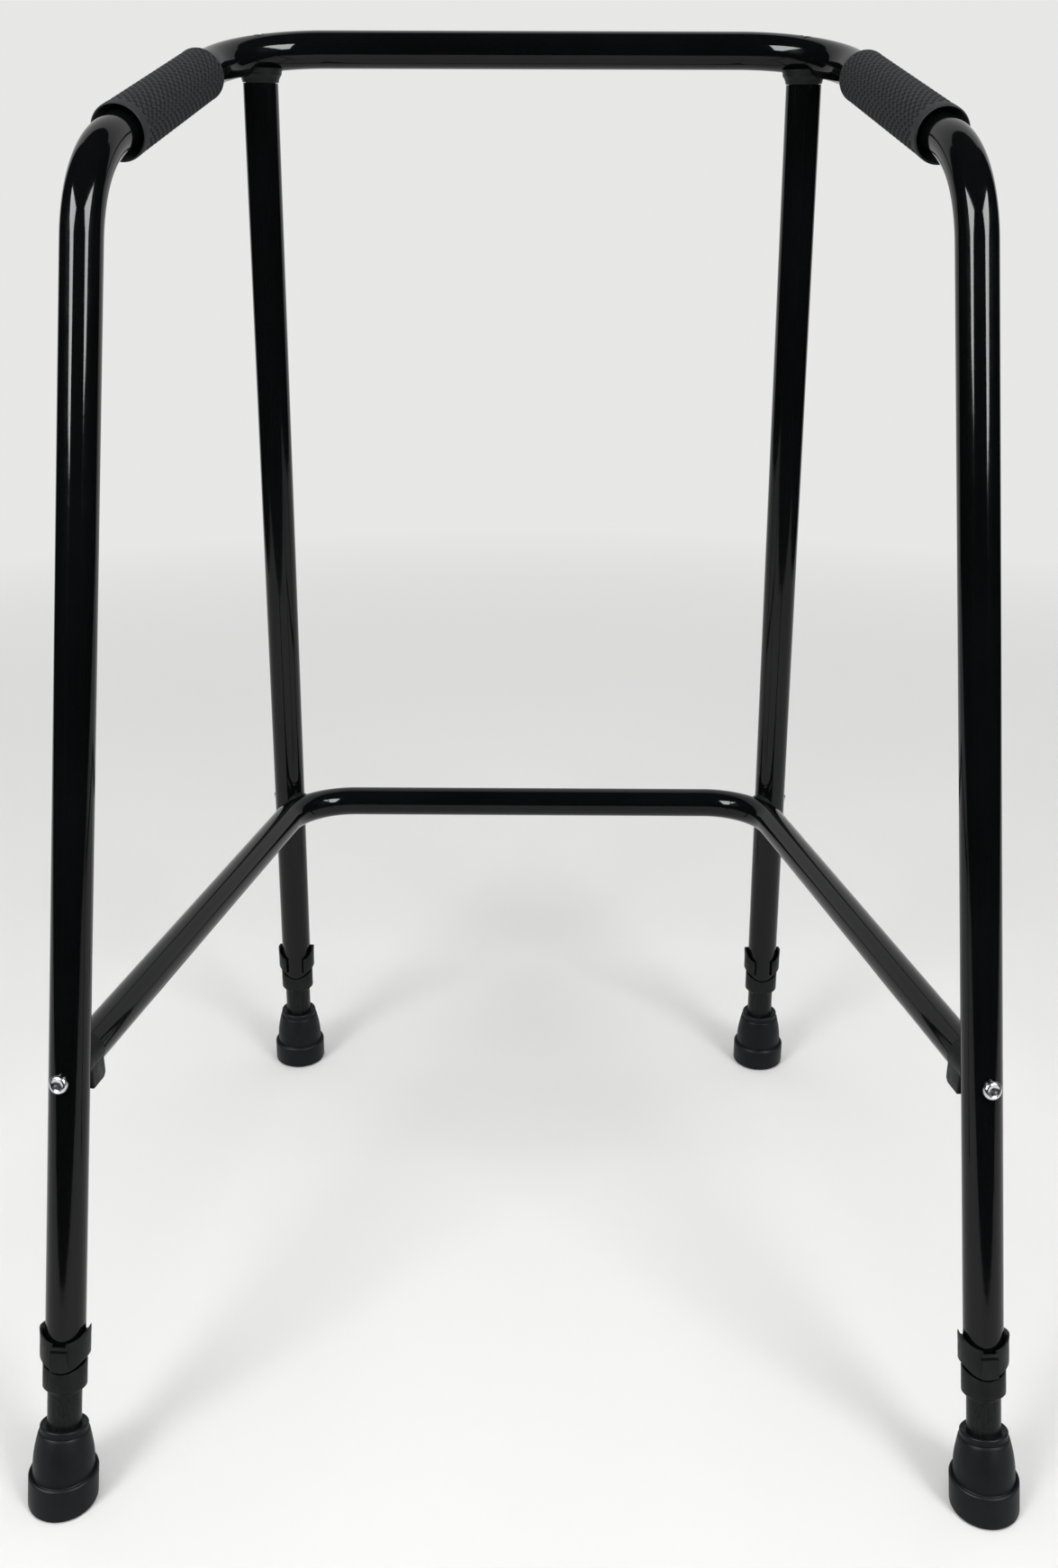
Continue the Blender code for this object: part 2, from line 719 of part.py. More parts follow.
def make_front_brace_joint(leg, place, brace, brace_path, leg_tube):
    """The double-hollowed saddle between the brace's bend and its front leg, and its screw."""
    towards = place["saddle_axis"]
    centre = place["saddle_centre"]
    name = f"brace_saddle_{leg.side}"
    frame = axis_matrix(centre, towards, UP)
    mesh = cylinder_mesh(name, BRACE_SADDLE_OD / 2, 0, BRACE_OD / 2 + BRACE_SADDLE_WALL + TUBE_OD / 2)
    part = add_part(name, mesh, PLASTIC, frame)
    cut(part, leg_cutter(f"{name}_leg", leg))
    space = swept_mesh(f"{name}_brace", brace_path, BRACE_OD / 2 + SEAT_GAP, True)
    cut(part, add_cutter(f"{name}_brace", space))
    leg_offset = BRACE_OD / 2 + BRACE_SADDLE_WALL + TUBE_OD / 2
    head = centre + towards * (leg_offset + TUBE_OD / 2 + SEAT_GAP)
    length = leg_offset + TUBE_OD / 2 + SEAT_GAP - BRACE_OD / 2 + BRACE_WALL + FRONT_SCREW_BITE
    drill = screw_drill(f"brace_front_drill_{leg.side}", head, -towards, length)
    for piece in (part, brace, leg_tube):
        cut(piece, drill)
    add_screw(f"brace_front_screw_{leg.side}", head, -towards, length)


def make_leg_top_joint(leg, frame_tube, frame_path):
    """The flared saddle plug in a front leg's top, and the sunk screw down through the frame tube."""
    name = f"leg_top_plug_{leg.side}"
    seat = (leg.top - leg.foot).length
    face = front_leg_tube_top(leg) + SEAT_GAP
    top = seat - LEG_SADDLE_REACH
    wide = LEG_SADDLE_TOP_OD / 2
    narrow = LEG_SADDLE_BASE_OD / 2
    plug_radius = TUBE_OD / 2 - TUBE_WALL - PLUG_CLEARANCE
    profile = [
        (0, top),
        (wide, top),
        (wide, top - (top - face) * 0.25),
        ((wide + narrow * 2) / 3, top - (top - face) * 0.6),
        (narrow, face),
        (plug_radius, face),
        (plug_radius, face - PLUG_DEPTH),
        (0, face - PLUG_DEPTH),
    ]
    part = add_part(name, turned_mesh(name, profile, False), PLASTIC, leg.frame)
    space = swept_mesh(f"{name}_seat", frame_path, TUBE_OD / 2 + SEAT_GAP, True)
    cut(part, add_cutter(f"{name}_seat", space))
    centre, _, axis, _ = front_bend(leg.side)
    tangent = axis.cross(leg.top - centre).normalized()
    up = (leg.direction - leg.direction.dot(tangent) * tangent).normalized()
    head = SUNK_HEAD_OD / 2
    shank = SCREW_OD / 2
    rim = sqrt((TUBE_OD / 2) ** 2 - head ** 2)
    inside_plug = (plug_radius - shank - SCREW_GAP) / sin(up.angle(leg.direction))
    length = rim + min(TUBE_OD / 2 + LEG_SADDLE_DROP + TOP_SCREW_BITE, inside_plug)
    shape = [
        (0, SUNK_HEAD_DOME),
        (head * 0.6, SUNK_HEAD_DOME * 0.7),
        (head, 0),
        (shank, shank - head),
        (shank, -length + shank),
        (shank * 0.3, -length),
        (0, -length),
    ]
    place = axis_matrix(leg.top + up * rim, up)
    screw = turned_mesh(f"leg_top_screw_{leg.side}", shape, False, SCREW_SEGMENTS)
    add_part(f"leg_top_screw_{leg.side}", screw, ZINC, place)
    hole = [
        (0, CUT_PAST),
        (head + SCREW_GAP, CUT_PAST),
        (head + SCREW_GAP, 0),
        (shank + SCREW_GAP, shank - head),
        (shank + SCREW_GAP, -length - SCREW_GAP),
        (0, -length - SCREW_GAP),
    ]
    drill_name = f"leg_top_drill_{leg.side}"
    drill = add_cutter(drill_name, turned_mesh(drill_name, hole, False, SCREW_SEGMENTS), place)
    for piece in (part, frame_tube):
        cut(piece, drill)


clear_scene()
PARTS = new_collection("standard_walker")
CUTTERS = new_collection("cutters")
ENAMEL = new_material("black_enamel", (0.010, 0.010, 0.011), 0.12)
EXTENSION_PAINT = new_material("black_extension", (0.014, 0.014, 0.015), 0.28)
PLASTIC = new_material("black_plastic", (0.020, 0.020, 0.022), 0.38)
GRIP_RUBBER = new_material("grip_rubber", (0.060, 0.062, 0.065), 0.75)
RUBBER = new_material("ferrule_rubber", (0.024, 0.024, 0.026), 0.62)
ZINC = new_material("bright_zinc", (0.72, 0.73, 0.75), 0.28, 1.0)

LEGS = {}
for side_name in SIDES:
    LEGS[f"rear_{side_name}"] = Leg("rear", side_name, rear_handle_corner(side_name))
    LEGS[f"front_{side_name}"] = Leg("front", side_name, front_leg_seat(side_name))

main_tube = make_frame_tube(LEGS)
main_path = rounded_path([rear_handle_corner("left"), bar_corner("left"), bar_corner("right"),
                          rear_handle_corner("right")], FRAME_BEND_RADIUS)
brace_places = brace_layout(LEGS)
lower_brace, brace_line = make_brace(brace_places)
for side_name in SIDES:
    rear_leg = LEGS[f"rear_{side_name}"]
    front_leg = LEGS[f"front_{side_name}"]
    front_tube = make_front_leg(front_leg)
    drill_pin_hole(main_tube, rear_leg)
    drill_pin_hole(front_tube, front_leg)
    make_grip(side_name)
    make_rear_brace_joint(rear_leg, brace_places[side_name], main_tube)
    make_front_brace_joint(front_leg, brace_places[side_name], lower_brace, brace_line, front_tube)
    make_leg_top_joint(front_leg, main_tube, main_path)
for one_leg in LEGS.values():
    make_extension(one_leg)
    make_collar(one_leg)
    make_clip(one_leg)
    make_ferrule(one_leg)
    make_washer(one_leg)
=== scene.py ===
"""Fine surfaces, finishes and a studio for a standard walking frame.

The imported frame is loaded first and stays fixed. Each operator below models one group of pieces
round it: bent tubes, dimpled grips, moulded clips and collars, rubber ferrules and screws. The
person using the walker faces +Y, and the floor is at z = 0. Sizes are in metres.
"""

import json
from math import asin, atan2, cos, pi, radians, sin, sqrt

import bmesh
import bpy
from bpy.props import FloatProperty, FloatVectorProperty, IntProperty, PointerProperty
from bpy.types import Operator, Panel, PropertyGroup
from mathutils import Matrix, Vector


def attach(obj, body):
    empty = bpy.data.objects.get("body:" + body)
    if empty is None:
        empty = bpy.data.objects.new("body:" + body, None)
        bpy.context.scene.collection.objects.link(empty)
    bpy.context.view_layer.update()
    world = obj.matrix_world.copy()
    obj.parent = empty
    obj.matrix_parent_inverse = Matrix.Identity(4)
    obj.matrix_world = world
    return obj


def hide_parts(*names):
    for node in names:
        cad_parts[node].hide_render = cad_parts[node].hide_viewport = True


bl_info = {
    "name": "Standard Walking Frame",
    "version": (1, 0, 0),
    "blender": (4, 5, 0),
    "location": "View3D > Sidebar > Walker",
    "description": "Models the tubes, grips, clips and feet of a walking frame, and its studio",
    "category": "Add Mesh",
}

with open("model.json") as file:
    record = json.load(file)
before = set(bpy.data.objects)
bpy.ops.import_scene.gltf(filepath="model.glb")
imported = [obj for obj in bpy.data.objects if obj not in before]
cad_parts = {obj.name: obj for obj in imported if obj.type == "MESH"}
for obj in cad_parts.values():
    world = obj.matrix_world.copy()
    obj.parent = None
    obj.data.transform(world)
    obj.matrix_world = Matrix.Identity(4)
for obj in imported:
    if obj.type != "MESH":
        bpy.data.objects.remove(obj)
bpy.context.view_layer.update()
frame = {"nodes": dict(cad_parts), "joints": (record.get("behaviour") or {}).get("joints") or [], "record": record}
RECORD = frame["record"]

UP = Vector((0, 0, 1))
FORWARD = Vector((0, 1, 0))
SIDES = {"left": -1, "right": 1}
ROWS = ("rear", "front")
GAP = 0.0003
FACETS = 96
TUBE_SMOOTHING = 38


def setting(kind, name, description, default, **limits):
    return kind(name=name, description=description, default=default, **limits)


def length(*words):
    return setting(FloatProperty, *words, min=0.0, subtype="DISTANCE", unit="LENGTH")


def angle(name, description, degrees):
    return setting(FloatProperty, name, description, radians(degrees), subtype="ANGLE", unit="ROTATION")


def colour(*words):
    return setting(FloatVectorProperty, *words, size=3, min=0.0, max=1.0, subtype="COLOR")


def strength(*words):
    return setting(FloatProperty, *words, min=0.0)


def count(*words):
    return setting(IntProperty, *words, min=4)


class WalkerTubeSizes(PropertyGroup):
    diameter: length("Frame tube", "Outside diameter of frame and legs", 0.0254)
    wall: length("Tube wall", "Thickness of every tube's wall", 0.0015)
    brace_diameter: length("Brace tube", "Its outside diameter", 0.024)
    extension_diameter: length("Extension tube", "The sliding tubes' outside diameter", 0.0218)
    handle_height: length("Handle height", "Height of the hand rails' rear end", 0.7966)
    bar_height: length("Bar height", "Height of its centre line", 0.8604)
    bar_half_length: length("Bar half length", "From its middle to its corner", 0.2161)
    bar_depth: length("Bar depth", "From the origin forward to it", 0.2676)
    bend_radius: length("Frame bend", "Centre-line radius of its bends", 0.075)
    leg_bend_angle: angle("Leg seat", "How far round the bend a front leg stands", 38)
    brace_rear_height: length("Brace rear height", "Its height at the rear legs", 0.2763)
    brace_front_height: length("Brace front height", "Its height at the front legs", 0.267)
    brace_bend_radius: length("Brace bend", "Centre-line radius of its bends", 0.056)
    brace_saddle_wall: length("Brace saddle wall", "Plastic between brace and front leg", 0.0025)
    brace_contact_angle: angle("Brace contact", "How far round its bend it meets the leg", 45)
    brace_end_offset: length("Brace end", "From the rear leg's axis to its end", 0.0245)
    sides: count("Sides", "Facets round each tube", 72)
    bend_steps: count("Bend steps", "Steps in each bend", 26)


class WalkerGripSizes(PropertyGroup):
    diameter: length("Grip diameter", "Its outside diameter", 0.035)
    start: length("Grip start", "From the rail's rear corner to the sleeve", 0.058)
    length: length("Grip length", "Length of the sleeve", 0.166)
    plain_band: length("Plain band", "Undimpled rubber at the near end", 0.009)
    far_band: length("Far band", "Undimpled rubber at the far end", 0.005)
    dimple_rows: count("Dimple rows", "Rows of dimples along the sleeve", 40)
    dimple_columns: count("Dimple columns", "Dimples round the sleeve", 20)
    dimple_rim: length("Dimple rim", "Rubber left round each dimple", 0.00038)
    dimple_depth: length("Dimple depth", "Depth of each dimple", 0.0016)


class WalkerLegEndSizes(PropertyGroup):
    collar_bottom: length("Collar bottom", "Up the leg from the floor to the collar", 0.0755)
    collar_height: length("Collar height", "Height of the sleeve", 0.0185)
    collar_diameter: length("Collar diameter", "Its outside diameter", 0.028)
    hole_pitch: length("Hole pitch", "Between adjustment holes", 0.025)
    hole_diameter: length("Hole diameter", "Their diameter", 0.0072)
    clip_height: length("Clip height", "Height of its horns", 0.0236)
    clip_wall: length("Clip wall", "Thickness of its band", 0.0029)
    clip_mouth: length("Clip mouth", "Width of its opening", 0.0156)
    clip_arch: length("Clip arch", "Rise of its lower edge from pad to sides", 0.0063)
    pad_width: length("Pad width", "Width of the thumb pad", 0.0108)
    pad_height: length("Pad height", "Height of the thumb pad", 0.0164)
    ferrule_top: length("Ferrule top", "Up the leg from the floor to the rim", 0.052)
    ferrule_rim_diameter: length("Ferrule rim", "Outside diameter at the ferrule's rim", 0.0314)
    ferrule_neck_diameter: length("Ferrule neck", "Outside diameter above the base band", 0.0396)
    ferrule_base_diameter: length("Ferrule base", "Outside diameter of the base band", 0.0446)
    ferrule_band: length("Base band", "Height of the base band", 0.021)


class WalkerFinishes(PropertyGroup):
    enamel: colour("Enamel", "Gloss black paint of the tubes", (0.002, 0.0022, 0.0024))
    extension: colour("Extension", "Satin black paint of the sliding tubes", (0.005, 0.0062, 0.0058))
    plastic: colour("Plastic", "Moulded clips, collars, saddles and plugs", (0.0058, 0.0066, 0.0068))
    grip: colour("Grip rubber", "Dimpled hand grips", (0.015, 0.0178, 0.0192))
    ferrule: colour("Ferrule rubber", "Rubber feet", (0.003, 0.0042, 0.0052))
    zinc: colour("Zinc", "Bright plated screws", (0.72, 0.73, 0.75))


class WalkerStudio(PropertyGroup):
    floor: colour("Floor", "Plain pale floor and backdrop", (0.8, 0.8, 0.795))
    world: strength("World", "Strength of the surrounding light", 0.22)
    side_lamps: strength("Side lamps", "Power of each side softbox in watts", 27)
    top_lamp: strength("Top lamp", "Power of the overhead softbox in watts", 54)
    gleams: strength("Gleams", "Power of each gleam panel in watts", 180)


def settings(group):
    return getattr(bpy.context.scene, f"walker_{group}")


def tube_radius():
    return settings("tubes").diameter / 2


# Geometry shared by the pieces


def axis_matrix(origin, along, across=None):
    """A frame at origin whose z runs along one direction and whose y leans towards another."""
    z = along.normalized()
    if across is None:
        across = UP if abs(z.dot(UP)) < 0.9 else FORWARD
    y = (across - across.dot(z) * z).normalized()
    matrix = Matrix((y.cross(z), y, z)).transposed().to_4x4()
    matrix.translation = origin
    return matrix


class Leg:
    """One leg's line, from the record: its foot on the floor, its direction and its frame."""

    def __init__(self, name):
        self.name = name
        mount = next(m for m in RECORD["mounts"] if m["name"] == f"sole_{name}")
        slide = next(j for j in frame["joints"] if j["name"] == f"height_{name}")
        self.foot = Vector(mount["pos_m"])
        self.direction = -Vector(slide["axis"]).normalized()
        self.frame = axis_matrix(self.foot, self.direction, Vector((0, self.foot.y, 0)))

    def at(self, distance):
        return self.foot + self.direction * distance

    def at_height(self, height):
        return self.at(height / self.direction.z)

    def outward(self, distance):
        """A frame square to the leg, whose z runs out through its clip."""
        return axis_matrix(self.at(distance), self.frame.col[1].to_3d(), self.direction)


LEGS = {f"{row}_{side}": Leg(f"{row}_{side}") for row in ROWS for side in SIDES}


def bend(before, corner, after, radius):
    """Centre, first spoke, axis and angle of the arc that rounds a corner."""
    back = (before - corner).normalized()
    ahead = (after - corner).normalized()
    turn = pi - back.angle(ahead)
    start = corner + back * radius * sin(turn / 2) / cos(turn / 2)
    axis = back.cross(ahead).normalized() * -1
    centre = start + axis.cross(-back) * radius
    return centre, start - centre, axis, turn


def bend_point(arc, turn):
    centre, spoke, axis, _ = arc
    return centre + Matrix.Rotation(turn, 3, axis) @ spoke


def handle_corner(side):
    return LEGS[f"rear_{side}"].at_height(settings("tubes").handle_height)


def bar_corner(side):
    tubes = settings("tubes")
    return Vector((SIDES[side] * tubes.bar_half_length, tubes.bar_depth, tubes.bar_height))


def frame_corners():
    return [handle_corner("left"), bar_corner("left"), bar_corner("right"), handle_corner("right")]


def front_bend(side):
    other = "left" if side == "right" else "right"
    radius = settings("tubes").bend_radius
    return bend(bar_corner(other), bar_corner(side), handle_corner(side), radius)


def leg_seat(side):
    """Where a front leg's axis meets the frame tube's centre line."""
    return bend_point(front_bend(side), settings("tubes").leg_bend_angle)


def leg_rise():
    """Up a front leg's axis from the floor to its seat."""
    return (leg_seat("left") - LEGS["front_left"].foot).length


def saddle_reach():
    """From the brace's centre line to a front leg's axis."""
    tubes = settings("tubes")
    return tubes.brace_diameter / 2 + tubes.brace_saddle_wall + tube_radius()


def brace_places():
    """Each side's rail start, corner and saddle of the lower brace."""
    tubes = settings("tubes")
    radius, turn = tubes.brace_bend_radius, tubes.brace_contact_angle
    low, high = tubes.brace_rear_height, tubes.brace_front_height
    places = {}
    for side, sign in SIDES.items():
        start = LEGS[f"rear_{side}"].at_height(low)
        towards = Vector((sign * sin(turn), cos(turn), 0))
        centre = LEGS[f"front_{side}"].at_height(high) - towards * (radius + saddle_reach())
        bar_depth = centre.y + radius
        run = Vector((centre.x - start.x, centre.y - start.y, 0))
        swing = Matrix.Rotation(-sign * asin(radius / run.length), 3, "Z")
        heading = swing @ run.normalized()
        across = heading.x * ((bar_depth - start.y) / heading.y)
        corner = Vector((start.x + across, bar_depth, high))
        saddle = centre + towards * radius
        saddle.z = low + (high - low) * (saddle.y - start.y) / (bar_depth - start.y)
        along = (corner - start).normalized()
        places[side] = dict(start=start, along=along, corner=corner, towards=towards, saddle=saddle)
    return places


# Modelling steps


def set_mode(mode):
    bpy.ops.object.mode_set(mode=mode)


def deselect():
    if bpy.context.object and bpy.context.object.mode != "OBJECT":
        set_mode("OBJECT")
    bpy.ops.object.select_all(action="DESELECT")
    bpy.context.tool_settings.mesh_select_mode = (True, False, False)


def work_on(piece):
    deselect()
    piece.select_set(True)
    bpy.context.view_layer.objects.active = piece


def added(name):
    """Names the primitive just added, and puts its place in its mesh."""
    piece = bpy.context.object
    piece.name = name
    bpy.ops.object.transform_apply()
    return piece


def pick_faces(piece, wanted):
    """Selects the faces that pass a test, in edit mode."""
    work_on(piece)
    set_mode("EDIT")
    bpy.ops.mesh.select_mode(type="FACE")
    shape = bmesh.from_edit_mesh(piece.data)
    for face in shape.faces:
        face.select_set(bool(wanted(face)))
    bmesh.update_edit_mesh(piece.data)


def face_out():
    """Points every face outwards, and ends edit mode."""
    bpy.ops.mesh.select_all(action="SELECT")
    bpy.ops.mesh.normals_make_consistent(inside=False)
    set_mode("OBJECT")


def close_up(fill):
    """Merges doubles, fills open ends if asked, and points every face outwards."""
    bpy.ops.mesh.select_all(action="SELECT")
    bpy.ops.mesh.remove_doubles(threshold=0.000002)
    if fill:
        bpy.ops.mesh.fill_holes(sides=0)
    face_out()


def pull(offset):
    """Extrudes what is selected, by an offset."""
    bpy.ops.mesh.extrude_region_move(TRANSFORM_OT_translate={"value": offset})


def settle(piece, place):
    """Moves a piece to its place, which its mesh keeps."""
    work_on(piece)
    piece.matrix_basis = place @ piece.matrix_basis
    bpy.ops.object.transform_apply()
    return piece


def copied(piece, name, place):
    """A copy with its own mesh, in another place."""
    work_on(piece)
    bpy.ops.object.duplicate()
    twin = bpy.context.object
    twin.name = name
    return settle(twin, place)


def mirrored(piece, name):
    """A copy for the other side, its faces turned out again."""
    twin = copied(piece, name, Matrix.Scale(-1, 4, (1, 0, 0)))
    set_mode("EDIT")
    face_out()
    return twin


def apply_modifier(piece, kind, **values):
    work_on(piece)
    step = piece.modifiers.new(kind.lower(), kind)
    for name, value in values.items():
        setattr(step, name, value)
    bpy.ops.object.modifier_apply(modifier=step.name)


def combine(piece, other, operation):
    apply_modifier(piece, "BOOLEAN", operation=operation, solver="MANIFOLD", object=other)
    bpy.data.objects.remove(other, do_unlink=True)
    if not piece.data.polygons:
        raise RuntimeError(f"{piece.name} was lost in a cut")


def cut(piece, *cutters):
    for cutter in cutters:
        combine(piece, cutter, "DIFFERENCE")


def join(piece, *lumps):
    for lump in lumps:
        combine(piece, lump, "UNION")


def ease_edges(piece, width, segments, limit):
    """Clears the slivers that cuts leave, and rounds sharp edges."""
    work_on(piece)
    set_mode("EDIT")
    bpy.ops.mesh.select_all(action="SELECT")
    bpy.ops.mesh.remove_doubles(threshold=width / 3)
    bpy.ops.mesh.dissolve_limited(angle_limit=radians(1))
    set_mode("OBJECT")
    apply_modifier(
        piece, "BEVEL", width=width, segments=segments, limit_method="ANGLE", angle_limit=radians(limit)
    )


def smooth(piece, limit=30):
    work_on(piece)
    bpy.ops.object.shade_smooth_by_angle(angle=radians(limit))
    return piece


def upright(height):
    return UP * height, 0.0


def turned(name, outline, sides=FACETS, fill=True, spine=upright):
    """Draws a ring through (radius, height) points: the outside first, from the bottom up.

    The spine gives the ring's centre, and its tilt about x, at each height.
    """
    deselect()
    radius, height = outline[0]
    centre, tilt = spine(height)
    bpy.ops.mesh.primitive_circle_add(vertices=sides, radius=radius, location=centre, rotation=(tilt, 0, 0))
    piece = added(name)
    set_mode("EDIT")
    for wide, height in outline[1:]:
        ahead, lean = spine(height)
        pull(ahead - centre)
        if abs(wide - radius) > 1e-9:
            bpy.ops.transform.resize(value=(wide / radius,) * 3, center_override=ahead)
        if abs(lean - tilt) > 1e-9:
            bpy.ops.transform.rotate(value=tilt - lean, orient_axis="X", center_override=ahead)
        radius, centre, tilt = wide, ahead, lean
    close_up(fill)
    return piece


def rod(place, radius, low, high, sides=32):
    """A plain round bar along a frame's z, to drill with or to join on."""
    return settle(turned("rod", [(radius, low), (radius, high)], sides), place)


def block(low, high):
    """A box between two corners, to cut with or to join on."""
    deselect()
    middle = [(a + b) / 2 for a, b in zip(low, high)]
    bpy.ops.mesh.primitive_cube_add(size=1, location=middle, scale=[b - a for a, b in zip(low, high)])
    return added("block")


def drawn(points, low, high, place=Matrix.Identity(4)):
    """Draws an outline of (x, z) points, fills it and pulls it out along y."""
    deselect()
    across, height = points[0]
    bpy.ops.mesh.primitive_plane_add(size=0.001, location=(across, low, height))
    piece = added("outline")
    set_mode("EDIT")
    bpy.ops.mesh.merge(type="CENTER")
    for x, z in points[1:]:
        pull((x - across, 0, z - height))
        across, height = x, z
    bpy.ops.mesh.select_all(action="SELECT")
    bpy.ops.mesh.edge_face_add()
    pull((0, high - low, 0))
    close_up(False)
    return settle(piece, place)


def arc_points(centre, radius, start, end, steps):
    """Points of an arc in (radius, height), with its angles in degrees."""
    turns = [radians(start + (end - start) * step / steps) for step in range(steps + 1)]
    return [(centre[0] + radius * cos(turn), centre[1] + radius * sin(turn)) for turn in turns]


def beside(radius, height, *steps):
    """Points of (radius, height) by steps from a corner, in tenths of a millimetre."""
    return [(radius + across / 10000, height + up / 10000) for across, up in steps]


def bent_tube(name, corners, bend_radius, diameter, wall=0.0):
    """Draws a tube as a bender does, in straight runs and turns. No wall makes it solid."""
    tubes = settings("tubes")
    deselect()
    bpy.ops.mesh.primitive_circle_add(vertices=tubes.sides, radius=diameter / 2)
    piece = settle(added(name), axis_matrix(corners[0], corners[1] - corners[0]))
    set_mode("EDIT")
    here = corners[0]
    for before, corner, after in zip(corners, corners[1:], corners[2:]):
        arc = bend(before, corner, after, bend_radius)
        centre, spoke, axis, turn = arc
        pull(centre + spoke - here)
        bpy.ops.mesh.spin(steps=tubes.bend_steps, angle=-turn, center=centre, axis=axis)
        here = bend_point(arc, turn)
    pull(corners[-1] - here)
    close_up(not wall)
    if wall:
        apply_modifier(piece, "SOLIDIFY", thickness=wall, offset=-1, use_even_offset=True)
    return piece


def finish_piece(piece, finish, body, node):
    """Gives a finished piece its finish's material and its body, and hides the imported node that it stands for.
    """
    material, slot = finish
    piece.data.materials.clear()
    piece.data.materials.append(bpy.data.materials[material])
    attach(piece, body)
    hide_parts(node)


def finish_pair(piece, name, finish, node):
    """Mirrors a left-hand piece of the frame to the right, and finishes both."""
    finish_piece(mirrored(piece, f"{name}_right"), finish, "frame", f"{node}_right")
    finish_piece(piece, finish, "frame", f"{node}_left")


def finish_legs(piece, name, finish, node, body, rows=ROWS, place=lambda leg: leg.frame):
    """Puts a copy at each left-hand leg, mirrors it to the right and finishes both."""
    for row in rows:
        left, right = LEGS[f"{row}_left"], LEGS[f"{row}_right"]
        here = copied(piece, f"{name}_{left.name}", place(left))
        there = mirrored(here, f"{name}_{right.name}")
        for twin, leg in ((here, left), (there, right)):
            finish_piece(twin, finish, body.format(leg.name), f"{node}_{leg.name}")
    bpy.data.objects.remove(piece, do_unlink=True)


# Finishes, each with the slot that it fills

ENAMEL = ("gloss_black_enamel", "black_enamel")
PAINTED_STEEL = ("gloss_black_enamel", "bright_zinc")
SATIN = ("satin_black_tube", "black_extension")
PLASTIC = ("moulded_black_plastic", "black_plastic")
GRIP = ("dimpled_grip_rubber", "grip_rubber")
FOOT = ("foot_rubber", "ferrule_rubber")
ZINC = ("zinc_plating", "bright_zinc")


class Nodes:
    """A node tree, and short ways to build in it."""

    def __init__(self, tree):
        self.tree = tree

    def fill(self, node, inputs):
        """Sets or links a node's inputs, given by name or number."""
        for name, value in inputs.items():
            if isinstance(value, bpy.types.NodeSocket):
                self.tree.links.new(value, node.inputs[name])
            else:
                node.inputs[name].default_value = value
        return node

    def node(self, kind, inputs, **values):
        """Adds a shader node, with its inputs and its settings."""
        made = self.tree.nodes.new("ShaderNode" + kind)
        for name, value in values.items():
            setattr(made, name, value)
        return self.fill(made, inputs)

    def seen_rays(self):
        """1 for rays that the camera, gloss or glass sends, and else 0."""
        rays = self.node("LightPath", {})
        seen = rays.outputs["Is Camera Ray"]
        for kind in ("Is Glossy Ray", "Is Transmission Ray"):
            either = self.node("Math", {0: seen, 1: rays.outputs[kind]}, operation="MAXIMUM")
            seen = either.outputs[0]
        return seen

    def end(self, output, share, lit, glow):
        """Ends the tree in a mix of two shaders."""
        mix = self.node("MixShader", {0: share, 1: lit.outputs[0], 2: glow.outputs[0]})
        self.fill(self.tree.nodes[output], {"Surface": mix.outputs[0]})


class Finish(Nodes):
    """A Principled material built from nodes that read object coordinates."""

    def __init__(self, name, roughness, specular=0.5, metallic=0.0):
        self.material = bpy.data.materials.new(name)
        self.material.use_nodes = True
        super().__init__(self.material.node_tree)
        self.shader = self.tree.nodes["Principled BSDF"]
        self.fill(self.shader, {"Roughness": roughness, "Specular IOR Level": specular, "Metallic": metallic})
        self.place = self.node("TexCoord", {}).outputs["Object"]
        self.normal = None

    def noise(self, scale, detail=4.0, roughness=0.5, place=None):
        inputs = {"Scale": scale, "Detail": detail, "Roughness": roughness, "Vector": place or self.place}
        return self.node("TexNoise", inputs).outputs["Fac"]

    def cells(self, scale):
        return self.node("TexVoronoi", {"Scale": scale, "Vector": self.place}).outputs["Distance"]

    def spread(self, source, low, high, from_low, from_high):
        inputs = {"Value": source, "From Min": from_low, "From Max": from_high, "To Min": low, "To Max": high}
        return self.node("MapRange", inputs).outputs["Result"]

    def blend(self, share, first, second):
        inputs = {"Factor": share, "A": first, "B": second}
        return self.node("Mix", inputs, data_type="RGBA").outputs["Result"]

    def tint(self, source, tone, dark, light, low=0.35, high=0.65):
        """Turns one tone from darker to lighter, by two factors."""
        first, second = ((*(min(channel * factor, 1.0) for channel in tone), 1.0) for factor in (dark, light))
        return self.blend(self.spread(source, 0.0, 1.0, low, high), first, second)

    def colour(self, source):
        self.fill(self.shader, {"Base Color": source})

    def roughness(self, source, low, high, from_low=0.3, from_high=0.7):
        self.fill(self.shader, {"Roughness": self.spread(source, low, high, from_low, from_high)})

    def bump(self, strength, distance, source):
        """Adds a relief on top of the ones before it."""
        inputs = {"Strength": strength, "Distance": distance, "Height": source}
        if self.normal is not None:
            inputs["Normal"] = self.normal
        self.normal = self.node("Bump", inputs).outputs["Normal"]
        self.fill(self.shader, {"Normal": self.normal})

    def grain(self, strength, distance, scale, detail=2.0):
        self.bump(strength, distance, self.noise(scale, detail))


